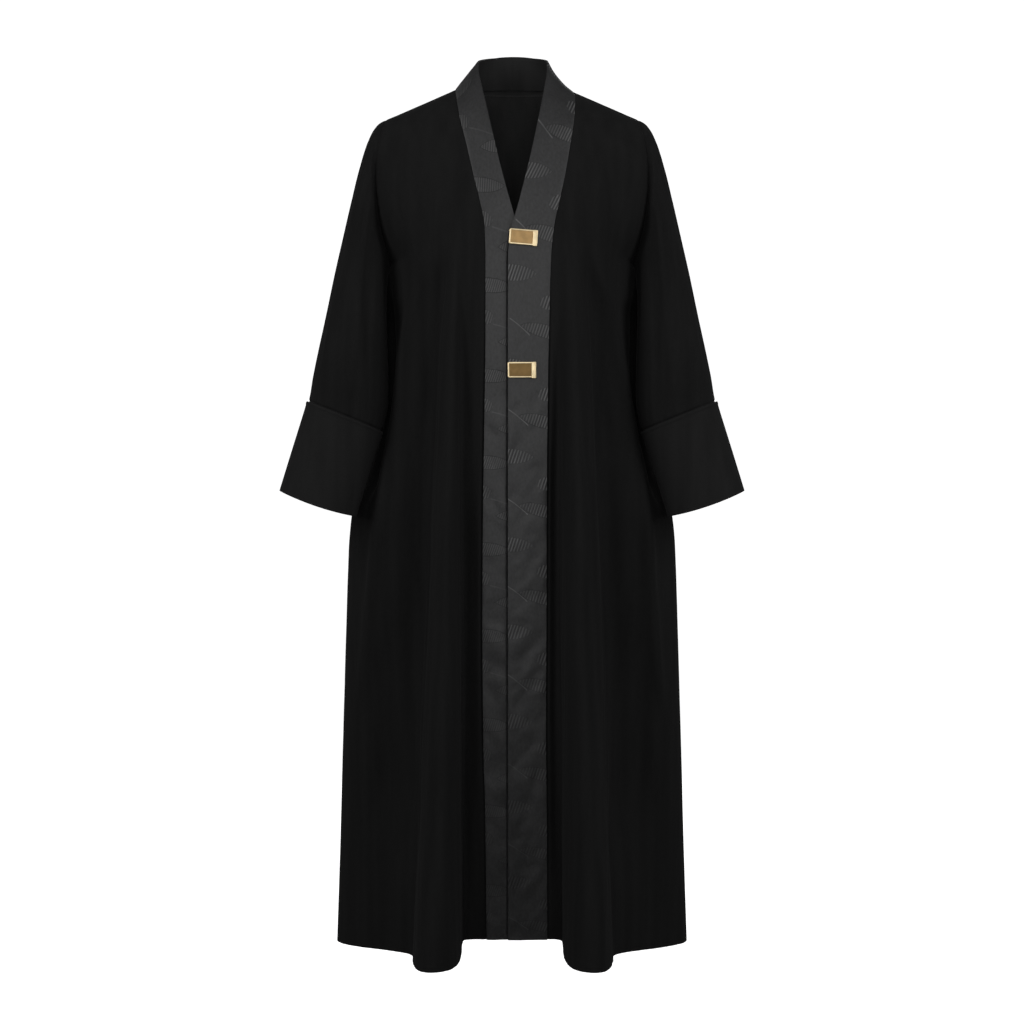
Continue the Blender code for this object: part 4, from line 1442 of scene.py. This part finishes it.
    def creased(self, points: Array, outward: int, folds: Sequence[Crease], seed: float) -> Array:
        """Adds the small creases and the soft streaks of hanging cloth, with the seams kept in place.

        Args:
            points: the grid's points.
            outward: 1 where the grid faces out, and -1 where it faces in.
            folds: the listed creases.
            seed: which slice of the noise the streaks read.

        Returns:
            The grid with its creases.
        """
        normals = grid_normals(points, False) * outward
        across, along = measured(points)
        down = -points[..., 2]
        wide = noise_grid(across / self.streak_width, points[..., 2] / self.streak_length, seed)
        fine = noise_grid(
            across / (0.45 * self.streak_width), points[..., 2] / (0.5 * self.streak_length), seed + 7
        )
        rise = self.streak_rise * (0.40 + 0.60 * eased(down, *self.streaks_grow)) * wide
        rise += 0.5 * self.streak_rise * fine
        rise *= eased(down, *self.streaks_start)
        deep = np.zeros_like(rise)
        for crease in folds:
            moved = deep if crease.width > BROAD_FOLD else rise
            moved += crease.lift(points)
        beside = np.minimum(across, across[:, -1:] - across)
        top = along[:, points.shape[1] // 2]
        kept = eased(beside, 0.0, self.calm_beside_seams) * eased(top[-1] - top, 0.0, self.calm_at_top)[:, None]
        seam = SEAM_DIP * bell(beside, SEAM_WIDTH)
        if outward > 0:
            seam += self.band_ditch * bell(across, self.ditch_width) * eased(down, *self.ditch_grows)
        sides = np.sign(points[..., :1]) * np.array([1.0, 0.0, 0.0]) + np.array([0.0, 1.0, 1.0])
        seam *= away_from_underarm(points * sides)
        back = np.zeros_like(points)
        back[..., 1] = -outward * deep * kept
        return points + normals * (rise * kept - seam)[..., None] + back + armhole_groove(points * sides)

    def build(self) -> None:
        """Builds the fronts, the back and its stitches."""
        for side in Side:
            points = self.creased(self.front_grid(side), 1, FRONT_CREASES[side], 3.0 + side.value)
            self.front.build(side, points, 1, self.finish, self.inside)
        points = self.creased(self.back_grid(), -1, BACK_CREASES, 11.0)
        self.back.build(Side.LEFT, points, -1, self.finish, self.inside)
        NeckStitches(self.thread).build(points)


class Ripple(NamedTuple):
    """A layer of soft noise round an arm, in cells to the arm's radius and cells a metre down it."""

    rise: float
    cells_round: float
    cells_down: float
    seed: float

    def lift(self, round_arm: Array, along: Array) -> Array:
        """How far it lifts each point of a tube."""
        down = self.cells_round * np.sin(round_arm) + along * self.cells_down
        return self.rise * noise_grid(self.cells_round * np.cos(round_arm), down, self.seed)


@dataclass
class Arm:
    """One sleeve and its cuff."""

    side: Side
    finish: Material
    cuff_finish: Material
    sleeve: ClothPiece = ClothPiece(
        "sleeve_{}", "crepe", CREPE, (0.48, 0.52), 0.150, ("cloth_front_{}", "cloth_back")
    )
    cuff: ClothPiece = ClothPiece("cuff_{}", "crepe", CUFF_CLOTH, (0.39, 0.155), 0.060, ("cloth_sleeve_{}",))
    ripples: tuple[Ripple, ...] = (Ripple(0.0016, 3.2, 2.2, 5.0), Ripple(0.0010, 6.5, 5.0, 9.0))
    cuff_ripple: Ripple = Ripple(0.0009, 1.6, 6.0, 21.0)
    gather_rise: float = 0.0022
    gather_width: float = 0.0085
    gather_reach: float = 0.035
    gather_radius: float = 0.06
    calm_at_top: float = 0.02
    under_swell: float = 0.0045
    under_angle: float = 0.5
    cuff_ditch: float = 0.0018
    ditch_down: float = 0.0015
    cuff_ridge: float = 0.0009
    ridge_down: float = 0.0030
    edge_width: float = 0.0020
    close_rows: int = 5
    cuff_rows: int = 38
    cuff_close_rows: int = 9
    close_share: float = 0.06
    squareness: float = 0.70

    @property
    def angles(self) -> Array:
        """The angles round the arm, which meet the rows of the front and back at the armhole."""
        return np.linspace(0.0, 2 * math.pi, 2 * ALL_AT_ARMHOLE + 1)

    def sleeve_grid(self) -> Array:
        """Draws the sleeve, from the armhole down to just inside the cuff.

        Returns:
            The rings' points.
        """
        inset = CUFF_CLOTH + SEAM_GAP
        shapes = list(ARM_RINGS)
        for share in (0.0, SLEEVE_IN_CUFF):
            shape = cuff_ring(share)
            outer, inner = np.array(shape[:4]).reshape(2, 2)
            across = (outer - inner) / np.linalg.norm(outer - inner) * inset
            half_depth = shape.half_depth - inset
            shapes.append(ArmRing(*(outer - across), *(inner + across), shape.forward, half_depth, shape.bow))
        flatter = 1 - (1 - self.squareness) * eased(np.arange(len(shapes)), 0, 5)
        points = np.array([shape.line(self.angles, 0.0, flat) for shape, flat in zip(shapes, flatter)])
        rows = refined(points, (FINE_ARM,) * (len(shapes) - 1))
        top = len(rows) - 1 - FINE_ARM
        shares = np.linspace(0.0, 1.0, self.close_rows + 2)[1:-1, None, None]
        return np.insert(rows, top, rows[top - 1] + (rows[top] - rows[top - 1]) * shares, axis=0)

    def creased(self, points: Array) -> Array:
        """Adds the sleeve's creases, its streaks and the gathers above the cuff.

        Args:
            points: the sleeve's points.

        Returns:
            The sleeve with its creases.
        """
        normals = -grid_normals(points, True)
        round_arm = np.broadcast_to(self.angles, points.shape[:2])
        along = measured(points)[1]
        above_cuff = along[-1 - FINE_ARM] - along
        rise = sum(ripple.lift(round_arm, along) for ripple in self.ripples)
        puckers = noise_grid(
            *(turn(round_arm) * self.gather_radius / self.gather_width for turn in (np.cos, np.sin)), 2.0
        )
        rise += self.gather_rise * puckers * np.exp(-np.abs(above_cuff) / self.gather_reach)
        rise *= eased(along, 0.0, self.calm_at_top)
        for folds, facing in ((SLEEVE_CREASES, -1), (SLEEVE_BACK_CREASES, 1)):
            shown = eased(facing * normals[..., 1], 0.0, 0.5) * eased(along, 0.002, 0.010)
            for crease in folds:
                rise += crease.lift(points) * shown
        rise *= eased(above_cuff, -0.002, 0.006)
        rise -= self.cuff_ditch * bell(above_cuff - self.ditch_down, self.edge_width)
        under = self.under_swell * bell(np.minimum(round_arm, 2 * math.pi - round_arm), self.under_angle)
        rise += under * eased(along, 0.05, 0.20) * eased(above_cuff, 0.0, 0.05)
        seam = SEAM_DIP * bell(along, SEAM_WIDTH) * away_from_underarm(points)
        return points + normals * (rise - seam)[..., None] + armhole_groove(points)

    def cuff_grid(self) -> Array:
        """Draws the cuff from its top edge down, with close rows at that edge.

        Returns:
            The rings' points.
        """
        close = np.linspace(0.0, self.close_share, self.cuff_close_rows)
        shares = np.append(close[:-1], np.linspace(self.close_share, 1.0, self.cuff_rows))
        rings = [cuff_ring(share).line(self.angles, CUFF_HEM_DIP * share, self.squareness) for share in shares]
        points = np.array(rings)
        along = measured(points)[1]
        rise = self.cuff_ripple.lift(np.broadcast_to(self.angles, along.shape), along)
        rise *= eased(along, 0.0, self.calm_at_top)
        rise += self.cuff_ridge * bell(along - self.ridge_down, self.edge_width)
        return points - grid_normals(points, True) * rise[..., None]

    def build(self) -> None:
        """Builds the sleeve and the cuff."""
        points = self.creased(self.sleeve_grid())
        self.sleeve.build(self.side, points, -1, self.finish, self.finish, closed=True)
        self.cuff.build(self.side, self.cuff_grid(), -1, self.cuff_finish, self.cuff_finish, closed=True)


class Crush(NamedTuple):
    """A layer of the band's soft slanting crush, in metres across and along its slant."""

    share: float
    slant: float
    width: float
    length: float
    seed: float

    def read(self, across: Array, along: Array, turn: int) -> Array:
        """The layer's height at each point, with another slice of noise for each side."""
        places = (across + self.slant * along) / self.width, (along - self.slant * across) / self.length
        return self.share * noise_grid(*places, self.seed + turn)


@dataclass
class Band:
    """One front band, from the hem round the neck to the middle of the back, and its facing."""

    side: Side
    finish: Material
    # The facing's crepe is a lighter copy of the black crepe, with painted light on the shaded inner rim.
    facing_finish: Material
    band: ClothPiece = ClothPiece(
        "band_{}", "satin", BAND_CLOTH, (0.068, 1.64), 0.100, ("cloth_front_{}", "cloth_back")
    )
    facing: ClothPiece = ClothPiece("facing_{}", "crepe", CREPE, (0.068, 0.26), 0.012, ("cloth_band_{}",))
    columns: int = 16
    facing_rows: int = 4
    facing_lap: float = 0.0014
    lap_top: float = -0.26
    lap_columns: int = 13
    lap_ditch: float = 0.0019
    lap_width: float = 0.0019
    lap_grows: tuple[float, float] = (0.215, 0.25)
    crushes: tuple[Crush, ...] = (Crush(1.0, 0.6, 0.030, 0.050, 31.0), Crush(0.5, 1.0, 0.016, 0.030, 37.0))
    crush_rise: float = 0.0016
    crush_grows: tuple[float, float] = (0.35, 0.60)
    clear_of_clasp: tuple[float, float] = (0.026, 0.045)
    edge_rise: float = 0.0004
    edge_width: float = 0.003

    def grid(self) -> tuple[Array, int]:
        """Draws the band.

        Returns:
            Rows from the hem to the middle of the back, columns from the seam to the free edge, and the
            number of rows that lie behind the shoulder or just in front of it.
        """
        stations = FRONTS[self.side]
        seam, edge, sag = front_lines(stations, ALL_BELOW_ARMS, ALL_AT_ARMHOLE)
        neck = BACK_NECK_COLUMNS * FINE_NECK
        seam, edge = (
            np.concatenate([front, behind[::-1][1:]])
            for front, behind in zip((seam, edge), back_neck(stations[0], neck))
        )
        sag = np.concatenate([sag, stations[0].sag * np.linspace(1.0, 0.0, neck + 1)[1:]])
        share = np.linspace(0.0, 1.0, self.columns + 1)
        if self.side is Side.RIGHT:
            share = np.unique(np.round(np.append(share, self.lap_shares(seam, edge)), 3))
        points = seam[:, None] + (edge - seam)[:, None] * share[None, :, None]
        inward = np.cross(edge - seam, np.gradient(seam, axis=0))
        inward /= np.linalg.norm(inward, axis=1, keepdims=True)
        points += inward[:, None] * sag[:, None, None] * (4 * share * (1 - share))[None, :, None]
        return points, neck + self.facing_rows * FINE_AT_ARMHOLE

    def lap_line(self, heights: Array) -> Array:
        """Where the left band's free edge lies over the right band."""
        return -curve(FRONTS[Side.LEFT], "edge", heights)

    def lap_shares(self, seam: Array, edge: Array) -> Array:
        """Places the close columns beside the other band's edge.

        Args:
            seam: the band's seam, row by row.
            edge: its free edge.

        Returns:
            The columns' places, from 0 to 1.
        """
        low = seam[:, 2] < self.lap_top
        places = (seam[low, 0] - self.lap_line(seam[low, 2])) / (seam[low, 0] - edge[low, 0])
        return np.linspace(places.min() - 0.05, places.max() + 0.05, self.lap_columns)

    def repeats(self, points: Array) -> Array:
        """Counts the motif's repeats along the band.

        Args:
            points: the band's points.

        Returns:
            The repeats at each point, which follow its height in front and go on evenly behind the shoulder.
        """
        motif = MOTIFS[self.side]
        seam = points[:, 0]
        counted = curve(motif, "repeats", seam[:, 2])
        along = lengths_along(seam)
        start = int(np.argmin(seam[:, 1] < 0.0)) - 2 * FINE_AT_ARMHOLE
        before = start - FINE_AT_ARMHOLE
        pace = (counted[start] - counted[before]) / (along[start] - along[before])
        level = curve(motif, "repeats", points[..., 2]) - counted[:, None]
        counted[start:] = counted[start] + pace * (along[start:] - along[start])
        in_front = eased(-seam[:, 2], 0.03, 0.11) * (seam[:, 1] < 0.0)
        return -counted[:, None] - level * in_front[:, None]

    def crushed(self, points: Array) -> Array:
        """Works out how far the band's soft crush, its edges and the other band's edge lift each point.

        Args:
            points: the band's points.

        Returns:
            The lift of each point.
        """
        across, along = measured(points)
        down = -points[..., 2]
        crush = sum(layer.read(across, along, self.side.value) for layer in self.crushes)
        rise = self.crush_rise * crush * (0.25 + 0.75 * eased(down, *self.crush_grows))
        for clasp in CLASPS:
            away = np.linalg.norm(points[..., [0, 2]] - [clasp.across, clasp.height], axis=2)
            rise *= eased(away, *self.clear_of_clasp)
        beside = np.minimum(across, across[:, -1:] - across)
        rise *= eased(beside, 0.0, 2 * self.edge_width)
        rise += self.edge_rise * eased(beside, 0.0, self.edge_width)
        if self.side is Side.RIGHT:
            away = points[..., 0] - self.lap_line(points[..., 2])
            rise -= self.lap_ditch * bell(away, self.lap_width) * eased(down, *self.lap_grows)
        return rise

    def build(self) -> None:
        """Builds the band and its facing."""
        points, round_neck = self.grid()
        normals = -grid_normals(points, False)
        shaped = points + normals * self.crushed(points)[..., None]
        self.band.build(self.side, shaped, -1, self.finish, self.finish, repeats=self.repeats(points))
        inner = (points - normals * (BAND_CLOTH + SEAM_GAP))[-round_neck:]
        outward = inner[:, 0] - inner[:, 1]
        inner[:, 0] += self.facing_lap * outward / np.linalg.norm(outward, axis=1, keepdims=True)
        self.facing.build(self.side, inner, -1, self.facing_finish, self.facing_finish)


@dataclass
class Clasp:
    """A flat gold-coloured clasp with a raised border and a raised lip at the wearer's left end."""

    name: str
    across: float
    height: float
    turn: float
    border: float = 0.0015
    border_slope: float = 0.0004
    sunk: float = 0.00035
    bevel: float = 0.0007
    sharp: float = math.radians(40)

    def plate(self, width: float, height: float, thickness: float, corner: float, sunk: float) -> bmesh.types.BMesh:
        """Shapes a plate with rounded corners and bevelled edges, its back at z = 0.

        Args:
            width: its size along x.
            height: its size along y.
            thickness: its size along z.
            corner: the radius of its corners.
            sunk: how far its face lies below its border, or 0 for no border.

        Returns:
            The plate, whose sunk face has the second material.
        """
        build = bmesh.new()
        bmesh.ops.create_grid(build, x_segments=1, y_segments=1, size=0.5)
        bmesh.ops.scale(build, vec=(width, height, 1.0), verts=build.verts[:])
        round_off = {"profile": 0.5, "material": -1}
        bmesh.ops.bevel(build, geom=build.verts[:], offset=corner, segments=6, affect="VERTICES", **round_off)
        made = bmesh.ops.extrude_face_region(build, geom=build.faces[:])
        face = [item for item in made["geom"] if isinstance(item, bmesh.types.BMVert)]
        bmesh.ops.translate(build, vec=(0.0, 0.0, thickness), verts=face)
        rim = [edge for edge in build.edges if edge.verts[0] in face and edge.verts[1] in face]
        bmesh.ops.bevel(build, geom=rim, offset=self.bevel, segments=4, affect="EDGES", **round_off)
        bmesh.ops.recalc_face_normals(build, faces=build.faces[:])
        top = max(build.faces, key=lambda item: item.calc_center_median().z * 10 + item.calc_area())
        if sunk > 0:
            for inset in (self.border, self.border_slope):
                bmesh.ops.inset_region(build, faces=[top], thickness=inset, use_even_offset=True)
            bmesh.ops.translate(build, vec=(0.0, 0.0, -sunk), verts=list(top.verts))
            top.material_index = 1
        return build

    def seat(self, band: Array) -> Matrix:
        """Finds where the clasp lies on the band.

        Args:
            band: the points of the upper band.

        Returns:
            The matrix that seats the clasp flat on the band, clear of it by a seam's gap.
        """
        reach = np.array([-0.5, 0.0, 0.5])
        spots = []
        for height in self.height + reach * CLASP_HEIGHT:
            row = int(np.searchsorted(band[:, 1, 2], height))
            low, high = band[row - 1, [0, -1]], band[row, [0, -1]]
            seam, edge = low + (high - low) * (height - low[:, 2:]) / (high[:, 2:] - low[:, 2:])
            for across in self.across + reach * CLASP_WIDTH:
                spots.append(seam + (edge - seam) * (across - seam[0]) / (edge[0] - seam[0]))
        middle = np.mean(spots, axis=0)
        normal = np.cross(spots[2] - spots[6], spots[8] - spots[0])
        normal /= np.linalg.norm(normal)
        lift = max((spot - middle) @ normal for spot in spots) + 2 * SEAM_GAP
        rest = Vector((0.0, -1.0, 0.0)).rotation_difference(Vector(normal)).to_matrix().to_4x4()
        upright = Matrix.Rotation(self.turn, 4, "Y") @ Matrix.Rotation(math.pi / 2, 4, "X")
        return Matrix.Translation(middle + normal * lift) @ rest @ upright

    def build(self, band: Array, polished: Material, brushed: Material) -> None:
        """Builds the plate and the lip.

        Args:
            band: the points of the upper band.
            polished: the finish of the border and the lip.
            brushed: the finish of the sunk face, which on the lower clasp is a darker copy of the brushed gold with
                painted shade.
        """
        place = self.seat(band)
        offset = Matrix.Translation(((CLASP_WIDTH - LIP_WIDTH) / 2 + LIP_RISE, -LIP_DROP / 2, 0.0))
        body = self.plate(CLASP_WIDTH, CLASP_HEIGHT, CLASP_THICKNESS, CLASP_CORNER, self.sunk)
        lip = self.plate(LIP_WIDTH, CLASP_HEIGHT + LIP_DROP, CLASP_THICKNESS + LIP_RISE, LIP_CORNER, 0.0)
        for word, build, matrix in (("plate", body, place), ("lip", lip, place @ offset)):
            bmesh.ops.transform(build, matrix=matrix, verts=build.verts[:])
            mesh = bpy.data.meshes.new(f"{self.name}_{word}")
            made = added(mesh, build, polished, brushed)
            mesh.shade_smooth()
            mesh.set_sharp_from_angle(angle=self.sharp)
            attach(made, "root")
            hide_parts(self.name)
            LOG.info("%s: %d faces", made.name, len(mesh.polygons))


CLASPS = (
    Clasp("clasp_upper", 0.0177, -0.2597, math.radians(4.0)),
    Clasp("clasp_lower", 0.0153, -0.4737, math.radians(-0.5)),
)


class Softbox(NamedTuple):
    """A rectangular area light, aimed at a height on the middle line, or a pair of them."""

    name: str
    place: tuple[float, float, float]
    aim: float
    size: tuple[float, float]
    radiance: float

    def build(self) -> None:
        """Builds the light, with its power from its radiance, on both sides unless it is in the middle."""
        for side in Side if self.place[0] else (Side.LEFT,):
            name = self.name.format(side.word)
            place = Vector(side.placed(np.array(self.place)))
            lamp = bpy.data.lights.new(name, "AREA")
            lamp.shape = "RECTANGLE"
            lamp.size, lamp.size_y = self.size
            lamp.energy = self.radiance * math.pi * self.size[0] * self.size[1]
            made = bpy.data.objects.new(name, lamp)
            made.location = place
            made.rotation_euler = (Vector((0.0, 0.0, self.aim)) - place).to_track_quat("-Z", "Y").to_euler()
            made.visible_camera = False
            bpy.context.scene.collection.objects.link(made)


@dataclass
class Studio:
    """A pale floor that curves up into a round backdrop, soft lights and the camera."""

    distance: float = 3.4
    eye_height: float = -0.702
    metres_a_pixel: float = 0.001669
    picture: int = 1024
    sensor: float = 36.0
    floor_height: float = -1.62
    floor_radius: float = 7.0
    sweep_radius: float = 1.5
    wall_height: float = 5.0
    glow: float = 0.98
    sky: float = 0.05
    lights: tuple[Softbox, ...] = (
        Softbox("front_box", (0.0, -3.3, 0.10), -0.6, (2.2, 2.9), 1.45),
        Softbox("front_{}_box", (2.5, -1.7, 0.8), -0.4, (1.0, 2.2), 4.8),
        Softbox("{}_box", (3.0, -0.3, 0.5), -0.5, (1.0, 1.8), 0.6),
        Softbox("top_box", (0.0, -1.5, 2.3), -0.2, (2.0, 2.0), 0.2),
        Softbox("back_box", (0.0, 3.3, 0.10), -0.6, (1.6, 2.9), 1.3),
        Softbox("back_{}_box", (2.5, 2.2, 0.8), -0.4, (1.0, 2.2), 0.5),
    )

    def backdrop(self) -> None:
        """Spins the floor, its curve and the wall round the middle of the studio."""
        build = bmesh.new()
        centre = build.verts.new((0.0, 0.0, self.floor_height))
        rim = build.verts.new((self.floor_radius, 0.0, self.floor_height))
        build.edges.new((centre, rim))
        pivot = (self.floor_radius, 0.0, self.floor_height + self.sweep_radius)
        bend = bmesh.ops.spin(
            build, geom=[rim], cent=pivot, axis=(0.0, -1.0, 0.0), angle=math.pi / 2, steps=12, use_duplicate=False
        )
        top = [item for item in bend["geom_last"] if isinstance(item, bmesh.types.BMVert)]
        wall = bmesh.ops.extrude_vert_indiv(build, verts=top)
        bmesh.ops.translate(build, vec=(0.0, 0.0, self.wall_height), verts=wall["verts"])
        bmesh.ops.spin(
            build, geom=build.edges[:], cent=(0.0, 0.0, 0.0), axis=(0.0, 0.0, 1.0), angle=2 * math.pi, steps=96,
            use_merge=True, use_duplicate=False,
        )
        bmesh.ops.remove_doubles(build, verts=build.verts[:], dist=1e-5)
        graph = Graph("pale_backdrop")
        colour = graph.mix(graph.noise(graph.place(), 2.0), (0.86, 0.86, 0.86), (0.90, 0.90, 0.90))
        pale = graph.finish(
            Base_Color=colour, Roughness=0.9, Emission_Color=(1.0, 1.0, 1.0, 1.0), Emission_Strength=self.glow
        )
        made = added(bpy.data.meshes.new("backdrop"), build, pale)
        made.data.shade_smooth()
        made.visible_diffuse = made.visible_glossy = made.visible_shadow = False

    def camera(self) -> None:
        """Places the camera straight in front, at the photograph's scale."""
        data = bpy.data.cameras.new("camera")
        data.sensor_width = self.sensor
        data.lens = self.sensor * self.distance / (self.picture * self.metres_a_pixel)
        camera = bpy.data.objects.new("camera", data)
        camera.location = (0.0, -self.distance, self.eye_height)
        camera.rotation_euler = (math.pi / 2, 0.0, 0.0)
        bpy.context.scene.collection.objects.link(camera)
        bpy.context.scene.camera = camera

    def build(self) -> None:
        """Builds the studio."""
        self.backdrop()
        world = bpy.data.worlds.new("studio")
        world.use_nodes = True
        inputs = world.node_tree.nodes["Background"].inputs
        inputs["Color"].default_value = (1.0, 1.0, 1.0, 1.0)
        inputs["Strength"].default_value = self.sky
        bpy.context.scene.world = world
        for light in self.lights:
            light.build()
        self.camera()
        bpy.context.scene.view_settings.view_transform = "Standard"


def main() -> None:
    """Builds every piece."""
    logging.basicConfig(level=logging.INFO, format="%(message)s")
    crepe = CrepeFinish("black_crepe", (0.0085, 0.0085, 0.0086), (0.0140, 0.0140, 0.0140)).material()
    cuff = CrepeFinish("black_crepe_cuff", (0.0120, 0.0120, 0.0121), (0.0185, 0.0185, 0.0185)).material()
    # The inside is the same black crepe, lightened: painted light on the inner faces in shade.
    inside = CrepeFinish("black_crepe_inside", (0.0290, 0.0290, 0.0291), (0.0420, 0.0420, 0.0420)).material()
    # The facing is the same black crepe, lightened: painted light on the inner rim of the neck.
    facing = CrepeFinish("black_crepe_facing", (0.0160, 0.0160, 0.0161), (0.0250, 0.0250, 0.0250)).material()
    thread = CrepeFinish("black_thread", (0.0700, 0.0700, 0.0700), (0.1000, 0.1000, 0.1000)).material()
    satin = {side: SatinFinish(side).material() for side in Side}
    polished = GoldFinish("polished_gold", (0.93, 0.76, 0.47), 0.30).material()
    brushed = (
        GoldFinish("brushed_gold", (0.50, 0.325, 0.146)).material(),
        # A darker copy of the brushed gold for the lower clasp: painted shade.
        GoldFinish("dull_gold", (0.25, 0.160, 0.066)).material(),
    )
    Studio().build()
    Body(crepe, inside, thread).build()
    for side in Side:
        Arm(side, crepe, cuff).build()
        Band(side, satin[side], facing).build()
    upper_band = Band(Side.LEFT, satin[Side.LEFT], facing).grid()[0]
    for clasp, finish in zip(CLASPS, brushed):
        clasp.build(upper_band, polished, finish)


if __name__ == "__main__":
    main()
